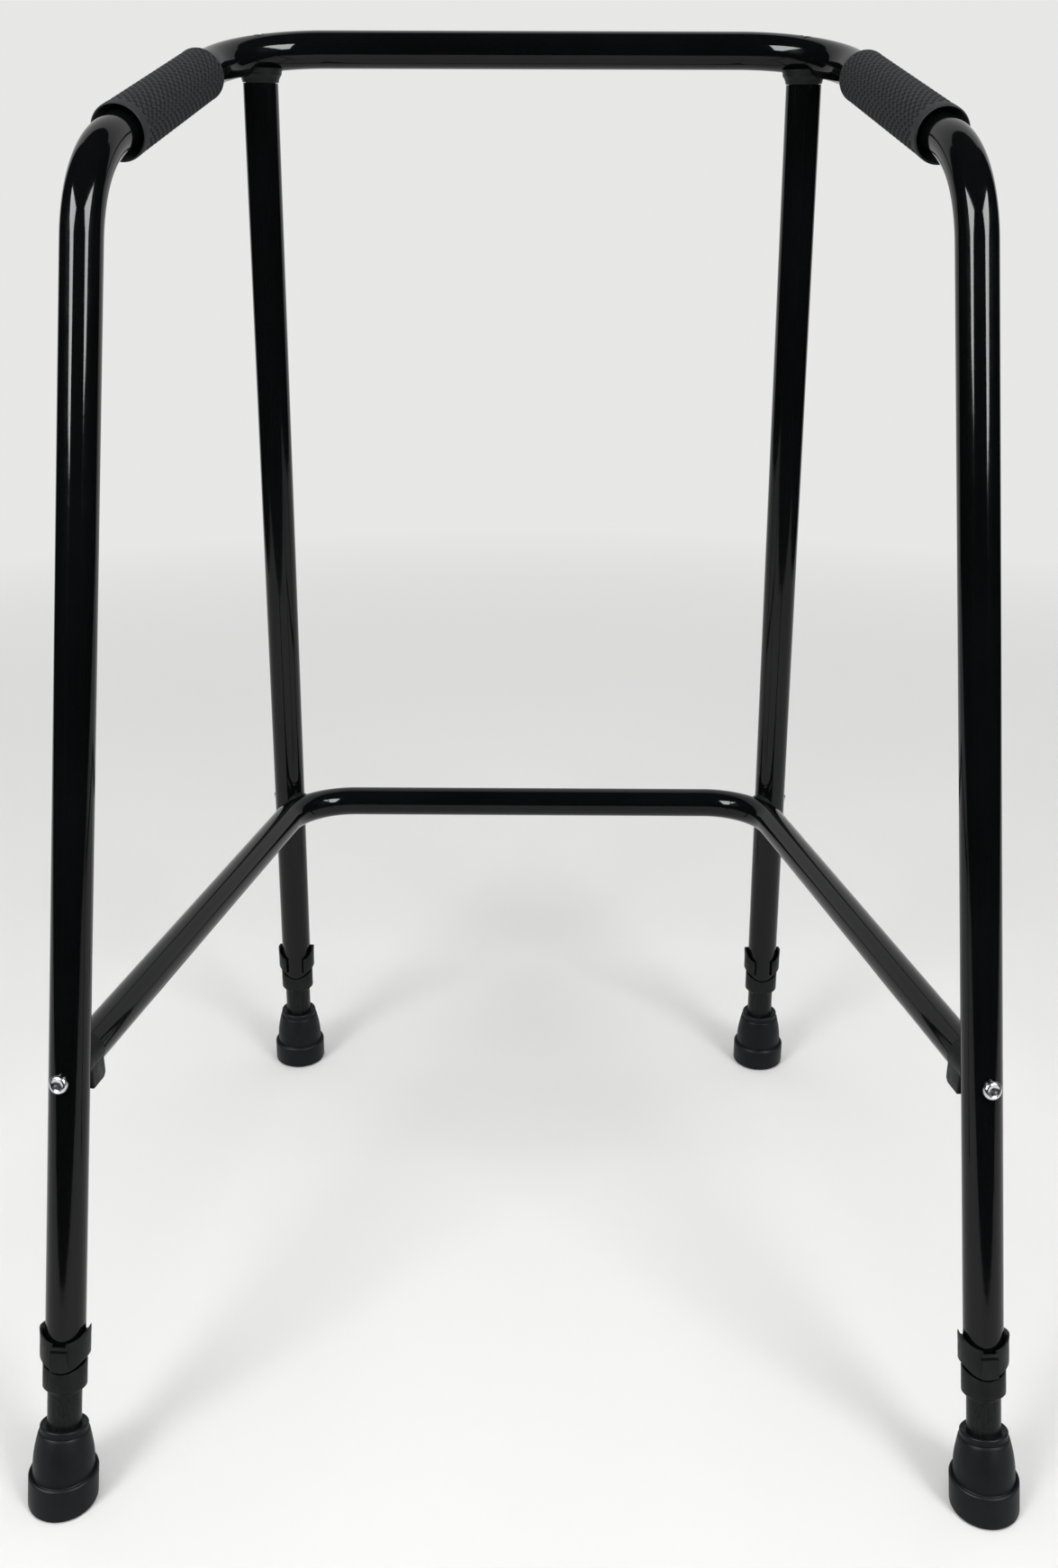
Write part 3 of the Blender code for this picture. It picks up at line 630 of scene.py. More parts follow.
def make_finishes():
    tones = settings("finishes")

    enamel = Finish(ENAMEL[0], 0.08, specular=0.22)
    enamel.colour(enamel.tint(enamel.noise(9.0), tones.enamel, 1.0, 1.5))
    enamel.roughness(enamel.noise(60.0, detail=8.0, roughness=0.7), 0.05, 0.12, 0.35, 0.75)
    enamel.grain(0.1, 0.00006, 420.0)
    enamel.grain(0.1, 0.0006, 36.0)

    satin = Finish(SATIN[0], 0.32, specular=0.12)
    stretch = {"Scale": (700.0, 700.0, 9.0), "Vector": satin.place}
    place = satin.node("Mapping", stretch).outputs["Vector"]
    rub = satin.noise(1.0, detail=6.0, place=place)
    satin.colour(satin.tint(rub, tones.extension, 1.0, 2.1, 0.4, 0.8))
    satin.roughness(rub, 0.22, 0.4)
    satin.bump(0.12, 0.00004, rub)

    plastic = Finish(PLASTIC[0], 0.38, specular=0.13)
    plastic.colour(plastic.tint(plastic.noise(55.0), tones.plastic, 1.0, 1.45))
    plastic.roughness(plastic.noise(170.0), 0.34, 0.5)
    plastic.bump(0.16, 0.00005, plastic.cells(2600.0))
    plastic.grain(0.1, 0.00025, 90.0)

    grip = Finish(GRIP[0], 0.55, specular=0.16)
    worn = grip.noise(26.0, detail=6.0, roughness=0.65)
    rubber = grip.tint(worn, tones.grip, 0.8, 1.35, 0.3, 0.7)
    pit_shade_mask = grip.node("Attribute", {}, attribute_name="pit").outputs["Fac"]
    # Painted shade: the grip rubber turns nearly black in the dimples, deepening the shade that the shallow pits
    # cast.
    grip.colour(grip.blend(grip.spread(pit_shade_mask, 0.0, 0.92, 0.05, 0.6), rubber, (0.0, 0.0, 0.0, 1.0)))
    grip.roughness(worn, 0.54, 0.74)
    grip.bump(0.3, 0.0001, grip.cells(1500.0))
    grip.grain(0.25, 0.00012, 700.0, 3.0)

    foot = Finish(FOOT[0], 0.45, specular=0.13)
    dust = foot.noise(48.0, detail=7.0, roughness=0.7)
    foot.colour(foot.tint(dust, tones.ferrule, 1.0, 1.8, 0.42, 0.8))
    foot.roughness(dust, 0.36, 0.52)
    foot.grain(0.2, 0.00008, 900.0, 3.0)
    foot.grain(0.14, 0.0004, 70.0)

    zinc = Finish(ZINC[0], 0.14, metallic=1.0)
    bloom = zinc.noise(380.0, detail=5.0)
    zinc.colour(zinc.tint(bloom, tones.zinc, 0.78, 1.05, 0.3, 0.7))
    zinc.roughness(bloom, 0.15, 0.27)
    zinc.grain(0.1, 0.00003, 1500.0)


# Frame tubes

LEG_SADDLE_DROP = 0.006
COLLAR_LIP = 0.0018


def pin_height():
    ends = settings("leg_ends")
    return ends.collar_bottom + ends.collar_height + GAP + ends.pad_height / 2


def tube_start():
    """Up the leg from the floor to the lower end of a leg's tube, on the collar's lip."""
    return settings("leg_ends").collar_bottom + COLLAR_LIP + GAP


def pin_drill(place):
    """A drill through one side of a tube, along a frame's z."""
    return rod(place, settings("leg_ends").hole_diameter / 2, 0.004, 0.02)


def make_frame_tube():
    tubes = settings("tubes")
    left, right = (LEGS[f"rear_{side}"].at(tube_start()) for side in SIDES)
    corners = [left, *frame_corners(), right]
    piece = bent_tube("frame_tube", corners, tubes.bend_radius, tubes.diameter, tubes.wall)
    for side in SIDES:
        pin = LEGS[f"rear_{side}"].outward(pin_height())
        cut(piece, pin_drill(pin), screw_hole(rear_screw_line(side)), top_screw_hole(side))
    finish_piece(smooth(piece, TUBE_SMOOTHING), ENAMEL, "frame", "main_tube")


def leg_tube_top():
    """Up its axis to the upper end of a front leg's tube, under its saddle."""
    return leg_rise() - tube_radius() - LEG_SADDLE_DROP - GAP


def make_front_leg_tubes():
    tubes = settings("tubes")
    leg = LEGS["front_left"]
    ends = leg.at(tube_start()), leg.at(leg_tube_top())
    piece = bent_tube("front_leg_tube_left", ends, 0, tubes.diameter, tubes.wall)
    cut(piece, pin_drill(leg.outward(pin_height())), screw_hole(front_screw_line("left")))
    finish_pair(smooth(piece, TUBE_SMOOTHING), "front_leg_tube", ENAMEL, "front_leg")


def brace_corners():
    offset = settings("tubes").brace_end_offset
    places = brace_places()
    left, right = places["left"], places["right"]
    return [
        left["start"] + left["along"] * offset, left["corner"],
        right["corner"], right["start"] + right["along"] * offset,
    ]


def make_brace_tube():
    tubes = settings("tubes")
    radius = tubes.brace_bend_radius
    piece = bent_tube("brace_tube", brace_corners(), radius, tubes.brace_diameter, tubes.wall)
    cut(piece, *(screw_hole(front_screw_line(side)) for side in SIDES))
    finish_piece(smooth(piece, TUBE_SMOOTHING), ENAMEL, "frame", "lower_brace")


# Hand grips


def mark_pit_shade(piece):
    """Marks the selected corners as pits, where the grip rubber gets painted shade."""
    set_mode("OBJECT")
    pit = piece.data.attributes.new("pit", "FLOAT", "POINT")
    for corner in piece.data.vertices:
        pit.data[corner.index].value = float(corner.select)
    set_mode("EDIT")


def make_grips():
    sizes = settings("grips")
    outer = sizes.diameter / 2
    inner = tube_radius() + GAP + 0.0001
    near = sizes.start
    far = sizes.start + sizes.length
    first = near + sizes.plain_band
    last = far - sizes.far_band
    rows = sizes.dimple_rows
    outline = beside(outer, near, (-14, 5), (-9, 0), (-1, 5), (0, 18), (0, 45), (0, 70))
    outline += [(outer, first + (last - first) * row / rows) for row in range(rows + 1)]
    outline += beside(outer, far, (0, -45), (-4, -32), (-16, -14), (-36, -3))
    outline += beside(inner, far, (6, 0), (0, 0)) + beside(inner, near, (0, 105), (3, 95))
    outline += beside(outer, near, (-17, 80), (-14, 5))
    columns = sizes.dimple_columns * 2
    piece = turned("hand_grip_left", outline, columns, False)
    pitch = (last - first) / rows

    def dimpled(face):
        middle = face.calc_center_median()
        if middle.xy.length < outer - 0.001 or not first < middle.z < last:
            return False
        column = round(atan2(middle.y, middle.x) / (2 * pi) * columns - 0.5)
        return (column + int((middle.z - first) / pitch)) % 2 == 0

    pick_faces(piece, dimpled)
    bpy.ops.mesh.inset(thickness=sizes.dimple_rim, depth=-sizes.dimple_depth, use_individual=True)
    # The dimples' corners are marked for painted shade in the grip rubber.
    mark_pit_shade(piece)
    close_up(False)
    apply_modifier(piece, "SUBSURF", levels=2, render_levels=2)
    settle(piece, axis_matrix(handle_corner("left"), bar_corner("left") - handle_corner("left")))
    finish_pair(smooth(piece, 60), "hand_grip", GRIP, "grip")


# Screws

SCREW_RADIUS = 0.0029
HEAD_RADIUS = 0.006
HEAD_HEIGHT = 0.0036
HEAD_ROUNDING = 0.0021
SUNK_HEAD_RADIUS = 0.005
SUNK_DOME = 0.0011
REAR_SCREW_DROP = 0.0065
REAR_SCREW_BITE = 0.0065
FRONT_SCREW_BITE = 0.006
TOP_SCREW_BITE = 0.014


def sink_cross(piece, top, size, depth):
    """Sinks a tapered cross into the top of a screw's head, one arm after the other."""
    for turn in (0, pi / 2):
        arm = block((-size, -size * 0.22, top - depth), (size, size * 0.22, top + 0.002))
        pick_faces(arm, lambda face: face.normal.z < -0.5)
        bpy.ops.transform.resize(value=(0.45, 0.6, 1), center_override=(0, 0, top - depth))
        cut(piece, settle(arm, Matrix.Rotation(turn + 0.4, 4, "Z")))


def shank(reach):
    """Outline of a screw's shank, from its tip up."""
    return [(SCREW_RADIUS * 0.3, -reach), (SCREW_RADIUS, SCREW_RADIUS - reach)]


def make_pan_screws(name, line):
    """Round-headed screws, each driven along a line from the underside of its head."""
    start, towards, reach = line
    wide, rise, round_off = HEAD_RADIUS, HEAD_HEIGHT, HEAD_ROUNDING
    outline = shank(reach) + [(SCREW_RADIUS, 0), (wide - 0.0002, 0), (wide, 0.0003)]
    outline += arc_points((wide - round_off, rise - round_off), round_off, 0, 84, 9)
    outline += beside(wide, rise, (-27, -3), (-34, -5))
    piece = turned(f"{name}_left", outline, 48)
    sink_cross(piece, rise - 0.0004, 0.003, 0.0018)
    settle(piece, axis_matrix(start, -towards))
    finish_pair(smooth(piece), name, ZINC, f"brace_{name}")


def make_top_screws():
    place, reach = top_screw_place("left")
    head = SUNK_HEAD_RADIUS
    outline = shank(reach) + [(SCREW_RADIUS, SCREW_RADIUS - head), (head, 0)]
    dome = [radians(turn) for turn in range(15, 86, 14)]
    outline += [(head * cos(turn), SUNK_DOME * sin(turn)) for turn in dome]
    piece = turned("sunk_screw_left", outline, 48)
    sink_cross(piece, 0.001, 0.0027, 0.0015)
    settle(piece, place)
    finish_pair(smooth(piece), "sunk_screw", PAINTED_STEEL, "leg_top_screw")


def rear_screw_line(side):
    """Where the rear screw's head sits, which way it is driven and how far."""
    leg = LEGS[f"rear_{side}"]
    place = brace_places()[side]
    along = place["along"]
    square = (along - along.dot(leg.direction) * leg.direction).normalized()
    reach = tube_radius() + GAP
    start = place["start"] - leg.direction * REAR_SCREW_DROP - square * reach
    return start, square, 2 * reach + REAR_SCREW_BITE


def front_screw_line(side):
    """The same for the screw that holds the brace to a front leg."""
    tubes = settings("tubes")
    place = brace_places()[side]
    reach = saddle_reach() + tube_radius() + GAP
    start = place["saddle"] + place["towards"] * reach
    return start, -place["towards"], reach - tubes.brace_diameter / 2 + tubes.wall + FRONT_SCREW_BITE


def screw_hole(line):
    start, towards, reach = line
    return rod(axis_matrix(start, towards), SCREW_RADIUS + GAP, -HEAD_HEIGHT, reach + GAP)


def top_screw_place(side):
    """The sunk screw's frame, with z up through its head's rim, and its reach."""
    radius = tube_radius()
    leg = LEGS[f"front_{side}"]
    seat = leg_seat(side)
    centre, _, axis, _ = front_bend(side)
    tangent = axis.cross(seat - centre).normalized()
    up = (leg.direction - leg.direction.dot(tangent) * tangent).normalized()
    rim = sqrt(radius ** 2 - SUNK_HEAD_RADIUS ** 2)
    return axis_matrix(seat + up * rim, up), rim + radius + LEG_SADDLE_DROP + TOP_SCREW_BITE


def top_screw_hole(side):
    place, reach = top_screw_place(side)
    head, shaft = SUNK_HEAD_RADIUS + GAP, SCREW_RADIUS + GAP
    outline = [(shaft, -reach - GAP), (shaft, SCREW_RADIUS - SUNK_HEAD_RADIUS), (head, 0), (head, 0.004)]
    return settle(turned("countersink", outline, 32), place)


# Plugs and saddles

PAST_THE_TOP = 0.95


def tube_space(leg):
    """The room that a leg's tube takes, to cut from what sits against it."""
    return rod(leg.frame, tube_radius() + GAP, 0, PAST_THE_TOP, FACETS)


def make_end_blocks():
    """The wedges between the brace's ends and the rear legs, each in one piece with its plug."""
    tubes = settings("tubes")
    brace = brace_places()["left"]
    place = axis_matrix(brace["start"], brace["along"], UP)
    radius = tubes.brace_diameter / 2
    half = radius - 0.0004
    face = tubes.brace_end_offset - GAP
    back, drop, chamfer = 0.0065, 0.0185, 0.003
    outline = [(back, 0), (face, 0), (face, chamfer - drop), (face - chamfer, -drop), (back, -drop)]
    side_on = place @ Matrix(((0, -1, 0, 0), (0, 0, 1, 0), (1, 0, 0, 0), (0, 0, 0, 1)))
    piece = drawn(outline, -half, half, side_on)
    piece.name = "brace_end_block_left"
    ease_edges(piece, 0.0014, 4, 20)
    join(piece, rod(place, radius, 0, face + GAP / 4, FACETS))
    join(piece, rod(place, radius - tubes.wall - GAP, face - 0.004, face + 0.026, 64))
    cut(piece, tube_space(LEGS["rear_left"]), screw_hole(rear_screw_line("left")))
    finish_pair(smooth(piece), "brace_end_block", PLASTIC, "brace_end_plug")


def make_brace_saddles():
    tubes = settings("tubes")
    brace = brace_places()["left"]
    piece = rod(axis_matrix(brace["saddle"], brace["towards"], UP), 0.01, 0, saddle_reach(), 64)
    piece.name = "brace_saddle_pad_left"
    space = bent_tube("space", brace_corners(), tubes.brace_bend_radius, tubes.brace_diameter + 2 * GAP)
    cut(piece, tube_space(LEGS["front_left"]), space, screw_hole(front_screw_line("left")))
    finish_pair(smooth(piece), "brace_saddle_pad", PLASTIC, "brace_saddle")


def make_leg_saddles():
    """The flared saddles under the frame tube's corners, each in one piece with its plug."""
    tubes = settings("tubes")
    face = leg_tube_top() + GAP
    top = leg_rise() - 0.0088
    rise = top - face
    wide, narrow = 0.016, 0.0131
    plug = tube_radius() - tubes.wall - GAP
    flare = (0.0003, 0.2), (0.001, 0.36), (0.0023, 0.56), (0.0024, 0.74), (0.0029, 0.84)
    outline = beside(plug, face, (-6, -260), (0, -254), (0, 0)) + beside(narrow, face, (-3, 0), (0, 4))
    outline += [(narrow + out, face + rise * share) for out, share in flare]
    outline += beside(wide, top, (0, -3), (-3, 0))
    piece = settle(turned("leg_saddle_left", outline), LEGS["front_left"].frame)
    space = bent_tube("space", frame_corners(), tubes.bend_radius, tubes.diameter + 2 * GAP)
    cut(piece, space, top_screw_hole("left"))
    finish_pair(smooth(piece), "leg_saddle", PLASTIC, "leg_top_plug")


# Leg ends

HOLES = 5
CLIP_TAPER = Matrix.Translation((0, 0.00085, 0)) @ Matrix.Scale(0.944, 4, (0, 1, 0))
PAD_SLOPE = 0.62
PAD_RISE = 0.0018
PIN_RADIUS = 0.0032


def make_sliding_tubes():
    tubes = settings("tubes")
    pitch = settings("leg_ends").hole_pitch
    low = UP * (0.012 + 2 * GAP)
    high = UP * (pin_height() + pitch * (HOLES - 1) + 0.026)
    piece = bent_tube("sliding_tube", [low, high], 0, tubes.extension_diameter, tubes.wall)
    for index in range(HOLES):
        height = pin_height() + pitch * index
        cut(piece, pin_drill(axis_matrix((0, 0, height), FORWARD, UP)))
    finish_legs(smooth(piece, TUBE_SMOOTHING), "sliding_tube", SATIN, "leg_extension", "leg_end_{}")


def make_collars():
    ends = settings("leg_ends")
    outer = ends.collar_diameter / 2
    sleeve = tube_radius() + GAP
    lip = settings("tubes").extension_diameter / 2 + GAP
    low = ends.collar_bottom
    high = low + ends.collar_height
    peak = high + ends.clip_arch
    outline = beside(lip, low, (0, 2), (2, 0))
    outline += beside(outer, low, (-30, 0), (-26, 3), (-20, 12), (-4, 26), (0, 32)) + [(outer, peak)]
    outline += [(sleeve, peak), (sleeve, low + COLLAR_LIP), (lip, low + COLLAR_LIP), outline[0]]
    piece = turned("tube_collar", outline, fill=False)
    reach = outer + 0.004
    cut(piece, drawn(arch(high - 0.0032, peak + 0.004), -reach, reach))
    ease_edges(piece, 0.0004, 2, 50)
    finish_legs(smooth(piece), "tube_collar", PLASTIC, "leg_collar", "frame")


def arch(height, beyond):
    """The curved joint of collar and clip, low at the pad and high at the sides, closed beyond."""
    rise = settings("leg_ends").clip_arch
    steps = [0.02 * step / 12 for step in range(-12, 13)]
    return [(-0.02, beyond)] + [(x, height + rise * (x / 0.016) ** 2) for x in steps] + [(0.02, beyond)]


def mouth(low, high):
    """The clip's mouth, which widens on a curve and leaves a horn standing at each side."""
    gap, top_half, curve = settings("leg_ends").clip_mouth / 2, 0.0146, 1.7
    floor = low + 0.0165
    right = [(gap, low - 0.004)]
    for step in range(13):
        share = step / 12
        rise = 1 - (1 - share ** curve) ** (1 / curve)
        right.append((gap + (top_half - gap) * share, floor + (high - floor) * rise))
    right.append((top_half + 0.0002, high + 0.004))
    return right + [(-across, height) for across, height in reversed(right)]


def make_clips():
    """The C-shaped clips with their slotted thumb pads and the locking pins inside."""
    tubes = settings("tubes")
    ends = settings("leg_ends")
    low = ends.collar_bottom + ends.collar_height + GAP
    high = low + ends.clip_height
    inner = tube_radius() + GAP
    outer = inner + ends.clip_wall
    rim = high - 0.006
    flare = 0.0003
    outline = [
        (inner, low), (outer, low), (outer, rim - 0.001), (outer + flare * 0.25, rim + 0.002),
        (outer + flare, high), (inner + flare, high), (inner + flare * 0.25, rim + 0.002),
        (inner, rim - 0.001), (inner, low),
    ]
    piece = turned("snap_clip", outline, fill=False)
    combine(piece, rod(CLIP_TAPER, outer + flare, low - 0.002, high + 0.002, FACETS), "INTERSECT")

    half = ends.pad_width / 2
    face = outer + PAD_RISE
    join(piece, block((-half, outer - 0.0015, low), (half, face, high - GAP)))
    cut(piece, drawn(mouth(low, high), -(outer + 0.004), 0.0))

    front = low + ends.pad_height - 0.0005
    far, above = outer + 0.006, high + 0.006
    slant = [
        (0.0, front + face * PAD_SLOPE), (far, front + (face - far) * PAD_SLOPE), (far, above), (0.0, above),
    ]
    cut(piece, drawn(slant, -0.02, 0.02, Matrix.Rotation(pi / 2, 4, "Z")))
    cut(piece, rod(CLIP_TAPER, outer - 0.0011, front - 0.003, above, FACETS))
    cut(piece, block((0.0014 - half, 0, front - 0.0003), (half - 0.0014, face - 0.0014, above)))
    cut(piece, drawn(arch(low, low - 0.004), -far, far))
    ease_edges(piece, 0.0004, 3, 30)

    slot_top, slot_half = front - 0.001, half + 0.0004
    cut(piece, block((-slot_half, face - 0.0024, slot_top - 0.0019), (slot_half, face + 0.006, slot_top)))
    pin = axis_matrix((0, 0, pin_height()), FORWARD, UP)
    tip = tubes.extension_diameter / 2 - tubes.wall - ends.clip_wall
    join(piece, rod(pin, PIN_RADIUS, tip, outer - 0.0015))
    finish_legs(smooth(piece), "snap_clip", PLASTIC, "height_clip", "clip_{}")


# Ferrules


def make_ferrules(row):
    """Rubber feet whose soles lie flat while their necks follow the leaning legs."""
    ends = settings("leg_ends")
    socket = settings("tubes").extension_diameter / 2 + GAP
    slope = UP.angle(LEGS[f"{row}_left"].direction)
    top = ends.ferrule_top
    rim = ends.ferrule_rim_diameter / 2
    neck = ends.ferrule_neck_diameter / 2
    base = ends.ferrule_base_diameter / 2
    band = ends.ferrule_band
    start = band / 2
    finish = top - band / 2

    def spine(height):
        share = min(max((height - start) / (finish - start), 0), 1)
        share = share * share * (3 - 2 * share)
        along = height / cos(slope) * (1 - share) + height * share
        return Vector((0, along * sin(slope), along * cos(slope))), -slope * share

    outline = [(0.002, 0.0), (0.011, 0.0)]
    for ring in (base - 0.009, base - 0.005):
        outline += beside(ring, 0.0, (-12, 0), (-6, 14), (6, 14), (12, 0))
    outline += arc_points((base - 0.0018, 0.0018), 0.0018, -90, 0, 5)
    outline += [(base, band * 0.5)]
    outline += arc_points((base - 0.0016, band - 0.0026), 0.0016, 0, 76, 6)
    outline += beside(neck, band, (6, -12), (2, -15), (-1, -11), (0, -2), (-1, 12))
    foot, shoulder = band + 0.0012, top - 0.0052
    for share in (0.2, 0.4, 0.6, 0.8, 0.93):
        bulge = 0.0008 * sin(pi * share)
        outline.append((neck + (rim + 0.0006 - neck) * share + bulge, foot + (shoulder - foot) * share))
    outline += beside(rim, shoulder, (6, 0), (3, 4), (-3, 6), (-4, 11)) + beside(rim, top, (-3, -18))
    outline += arc_points((rim - 0.0015, top - 0.0012), 0.0012, 0, 90, 5)
    outline += [(socket + 0.001, top - 0.001)]
    piece = turned("rubber_ferrule", outline, spine=spine)
    cut(piece, rod(Matrix.Rotation(-slope, 4, "X"), socket, 0.01, top + 0.004, FACETS))
    finish_legs(
        smooth(piece, 32), "rubber_ferrule", FOOT, "ferrule", "leg_end_{}",
        (row,), lambda leg: axis_matrix(leg.foot, UP, leg.direction),
    )


# Studio


def add_lamp(name, place, target, size, power, gleam=False):
    """A soft panel. A gleam panel only shows in glossy surfaces, and the others only light."""
    lamp = bpy.data.lights.new(name, "AREA")
    lamp.shape = "RECTANGLE"
    lamp.size, lamp.size_y = size
    lamp.energy = power
    holder = bpy.data.objects.new(name, lamp)
    holder.location = place
    holder.visible_camera = False
    holder.visible_diffuse = not gleam
    holder.visible_glossy = gleam
    holder.rotation_euler = (Vector(target) - Vector(place)).to_track_quat("-Z", "Y").to_euler()
    bpy.context.scene.collection.objects.link(holder)


def make_camera():
    """The photograph's viewpoint: above the rear feet, looking down into the frame."""
    pitch, yaw, roll = 0.4272, -0.0055, -0.0032
    focal, middle, height = 1759.2, 912.4, 1741
    ahead = Vector((sin(yaw) * cos(pitch), cos(yaw) * cos(pitch), -sin(pitch)))
    across = Vector((cos(yaw), -sin(yaw), 0))
    below = ahead.cross(across)
    right = across * cos(roll) + below * sin(roll)
    down = below * cos(roll) - across * sin(roll)
    data = bpy.data.cameras.new("studio_camera")
    data.sensor_width = 36.0
    data.lens = data.sensor_width * focal / height
    data.shift_y = (middle - height / 2) / height
    data.clip_start, data.clip_end = 0.01, 60.0
    camera = bpy.data.objects.new("studio_camera", data)
    matrix = Matrix((right, -down, -ahead)).transposed().to_4x4()
    matrix.translation = (0.00658, -1.01647, 0.8271)
    camera.matrix_world = matrix
    bpy.context.scene.collection.objects.link(camera)
    bpy.context.scene.camera = camera


def make_backdrop():
    """A pale floor that turns evenly into the surroundings."""
    tone = tuple(settings("studio").floor)
    deselect()
    bpy.ops.mesh.primitive_circle_add(vertices=FACETS, radius=30, fill_type="NGON", location=(0, 0, -0.0004))
    floor = added("studio_floor")
    pick_faces(floor, lambda face: True)
    bpy.ops.mesh.inset(thickness=24)
    set_mode("OBJECT")
    paper = Finish("pale_floor", 0.8, specular=0.1)
    paper.colour(paper.tint(paper.noise(3.0), tone, 1.0, 0.985))
    away = paper.node("VectorMath", {0: paper.place}, operation="LENGTH").outputs["Value"]
    fade = {0: paper.spread(away, 0.0, 1.0, 0.75, 2.3), 1: paper.seen_rays()}
    share = paper.node("Math", fade, operation="MULTIPLY").outputs[0]
    glow = paper.node("Emission", {"Color": (*tone, 1.0)})
    paper.end("Material Output", share, paper.shader, glow)
    floor.data.materials.append(paper.material)


def make_flag():
    """A black tent that only glossy surfaces see, open over the near floor and behind."""
    near, far, high, half = -1.2, -2.6, 3.3, 2.0
    outline = [(near, 0.001), (far, 0.001), (far, high), (1.6, high), (1.6, 0.001)]
    flag = drawn(outline, -half, half)
    flag.name = "camera_flag"

    def is_open(face):
        return face.normal.x > 0.5 or face.normal.z < -0.5 and face.calc_center_median().x > near

    pick_faces(flag, is_open)
    bpy.ops.mesh.delete(type="FACE")
    set_mode("OBJECT")
    settle(flag, Matrix.Rotation(pi / 2, 4, "Z"))
    cloth = Finish("flag_cloth", 0.9, specular=0.02)
    cloth.colour(cloth.tint(cloth.noise(40.0), (0.004,) * 3, 1.0, 1.5))
    flag.data.materials.append(cloth.material)
    flag.visible_camera = flag.visible_diffuse = flag.visible_shadow = flag.visible_transmission = False


def make_surroundings():
    """The world: an even light, seen as a backdrop as pale as the floor."""
    studio = settings("studio")
    world = bpy.data.worlds.new("studio_world")
    world.use_nodes = True
    sky = Nodes(world.node_tree)
    light = sky.fill(sky.tree.nodes["Background"], {"Color": (1.0, 1.0, 1.0, 1.0), "Strength": studio.world})
    seen = sky.node("Background", {"Color": (*studio.floor, 1.0)})
    sky.end("World Output", sky.seen_rays(), light, seen)
    bpy.context.scene.world = world


# Operators


class WALKER_OT_finishes(Operator):
    """Builds the paints, plastics, rubbers and plating"""

    bl_idname = "walker.finishes"
    bl_label = "Finishes"

    def execute(self, context):
        make_finishes()
        return {"FINISHED"}


class WALKER_OT_tubes(Operator):
    """Bends the frame tube, the front legs and the lower brace"""

    bl_idname = "walker.tubes"
    bl_label = "Frame tubes"

    def execute(self, context):
        make_frame_tube()
        make_brace_tube()
        make_front_leg_tubes()
        return {"FINISHED"}


class WALKER_OT_grips(Operator):
    """Models the dimpled rubber hand grips"""

    bl_idname = "walker.grips"
    bl_label = "Hand grips"

    def execute(self, context):
        make_grips()
        return {"FINISHED"}


class WALKER_OT_brace_joints(Operator):
    """Models the brace's end blocks, saddles and screws"""

    bl_idname = "walker.brace_joints"
    bl_label = "Brace joints"

    def execute(self, context):
        make_end_blocks()
        make_brace_saddles()
        make_pan_screws("rear_screw", rear_screw_line("left"))
        make_pan_screws("front_screw", front_screw_line("left"))
        return {"FINISHED"}


class WALKER_OT_leg_tops(Operator):
    """Models the saddle plug and the sunk screw on top of each front leg"""

    bl_idname = "walker.leg_tops"
    bl_label = "Leg tops"

    def execute(self, context):
        make_leg_saddles()
        make_top_screws()
        return {"FINISHED"}


class WALKER_OT_leg_ends(Operator):
    """Models the sliding tubes and their collars, and plates the washers"""

    bl_idname = "walker.leg_ends"
    bl_label = "Sliding tubes and collars"

    def execute(self, context):
        make_sliding_tubes()
        make_collars()
        for name in LEGS:
            for place in frame["nodes"][f"ferrule_washer_{name}"].material_slots:
                place.material = bpy.data.materials[ZINC[0]]
        return {"FINISHED"}


class WALKER_OT_clips(Operator):
    """Models the snap-on height clips with their locking pins"""

    bl_idname = "walker.clips"
    bl_label = "Height clips"

    def execute(self, context):
        make_clips()
        return {"FINISHED"}


class WALKER_OT_ferrules(Operator):
    """Models the rubber feet"""

    bl_idname = "walker.ferrules"
    bl_label = "Ferrules"

    def execute(self, context):
        for row in ROWS:
            make_ferrules(row)
        return {"FINISHED"}


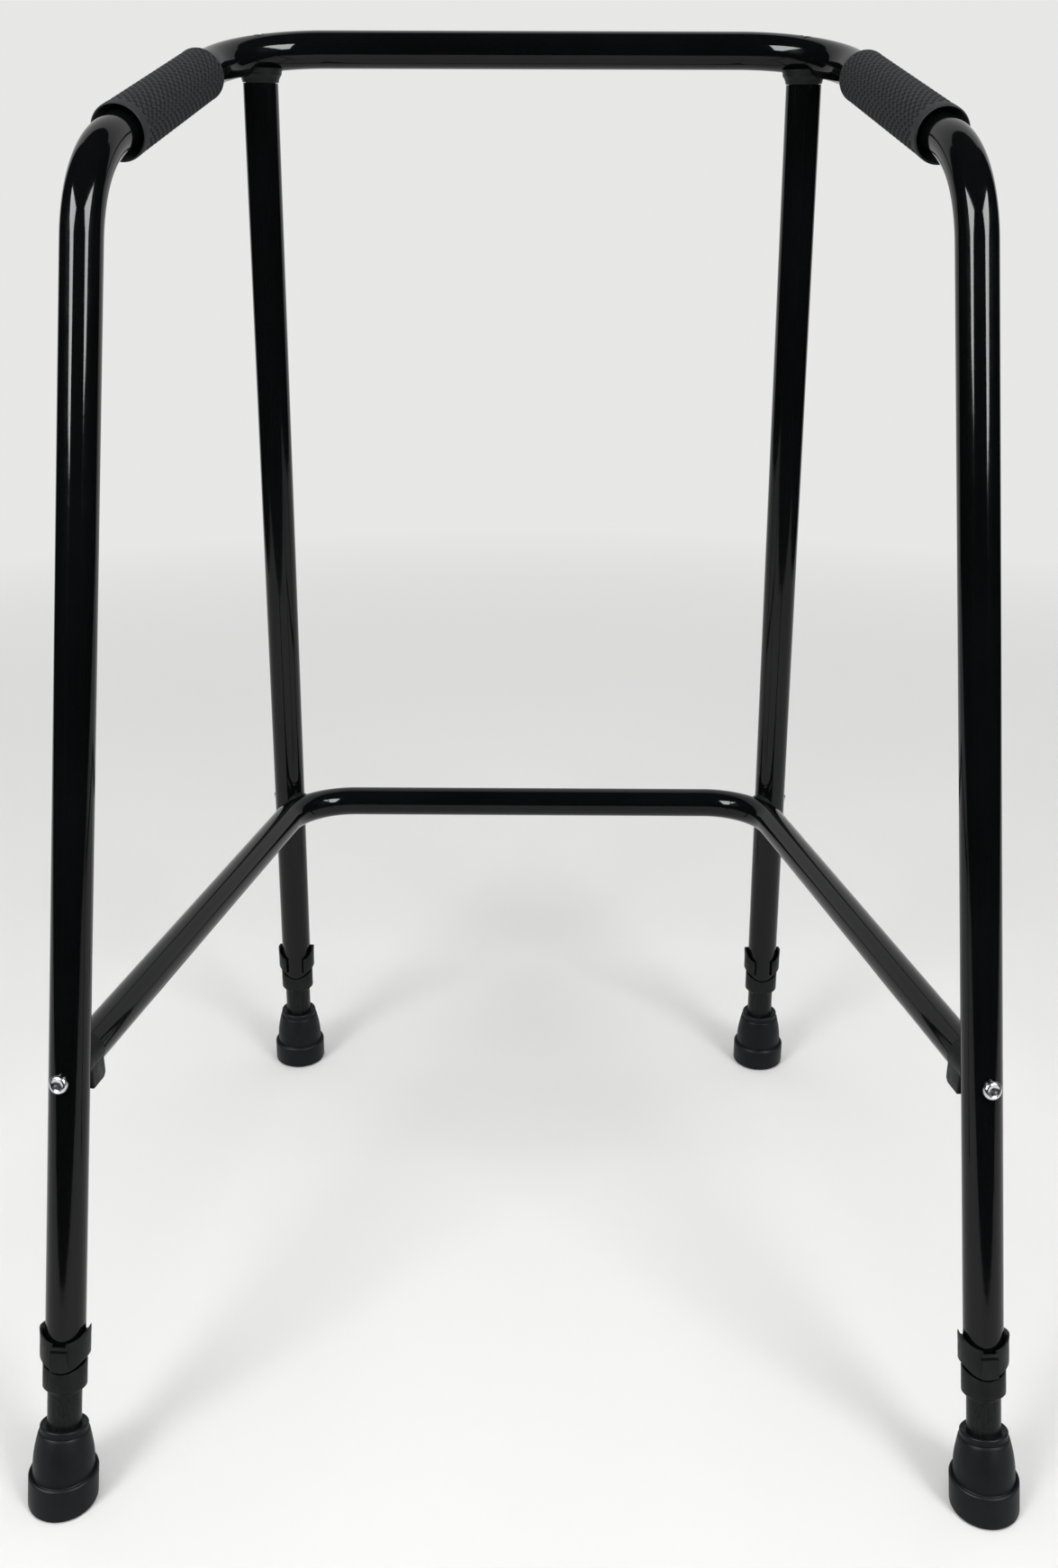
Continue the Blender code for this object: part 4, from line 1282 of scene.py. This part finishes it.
class WALKER_OT_studio(Operator):
    """Sets the pale floor, the soft lamps and the camera"""

    bl_idname = "walker.studio"
    bl_label = "Studio"

    def execute(self, context):
        studio = settings("studio")
        make_backdrop()
        make_flag()
        make_surroundings()
        make_camera()
        for side, sign in SIDES.items():
            place = (sign * 1.42, -1.62, 1.74)
            add_lamp(f"side_softbox_{side}", place, (0, 0, 0.7), (0.85, 0.75), studio.side_lamps)
            place, target = (sign * 1.84, -1.38, 2.14), (sign * 0.3, -0.26, 0.7)
            add_lamp(f"gleam_panel_{side}", place, target, (1.8, 1.45), studio.gleams, gleam=True)
        add_lamp("top_softbox", (0, 0.1, 2.7), (0, 0, 0), (3.0, 3.0), studio.top_lamp)
        context.scene.view_settings.view_transform = "Standard"
        return {"FINISHED"}


STEPS = (
    WALKER_OT_finishes, WALKER_OT_tubes, WALKER_OT_grips, WALKER_OT_brace_joints, WALKER_OT_leg_tops,
    WALKER_OT_leg_ends, WALKER_OT_clips, WALKER_OT_ferrules, WALKER_OT_studio,
)
GROUPS = {
    "walker_tubes": WalkerTubeSizes,
    "walker_grips": WalkerGripSizes,
    "walker_leg_ends": WalkerLegEndSizes,
    "walker_finishes": WalkerFinishes,
    "walker_studio": WalkerStudio,
}


class WALKER_PT_panel(Panel):
    """Lists the walker's modelling steps and sizes"""

    bl_label = "Walking Frame"
    bl_idname = "WALKER_PT_panel"
    bl_space_type = "VIEW_3D"
    bl_region_type = "UI"
    bl_category = "Walker"

    def draw(self, context):
        layout = self.layout
        for step in STEPS:
            layout.operator(step.bl_idname)
        for name, group in GROUPS.items():
            box = layout.box()
            for prop in group.__annotations__:
                box.prop(getattr(context.scene, name), prop)


def register():
    for item in (*GROUPS.values(), *STEPS, WALKER_PT_panel):
        bpy.utils.register_class(item)
    for name, group in GROUPS.items():
        setattr(bpy.types.Scene, name, PointerProperty(type=group))


def unregister():
    for name in GROUPS:
        delattr(bpy.types.Scene, name)
    for item in reversed((*GROUPS.values(), *STEPS, WALKER_PT_panel)):
        bpy.utils.unregister_class(item)


def main():
    register()
    for step in STEPS:
        getattr(bpy.ops.walker, step.bl_idname.removeprefix("walker."))()


if __name__ == "__main__":
    main()
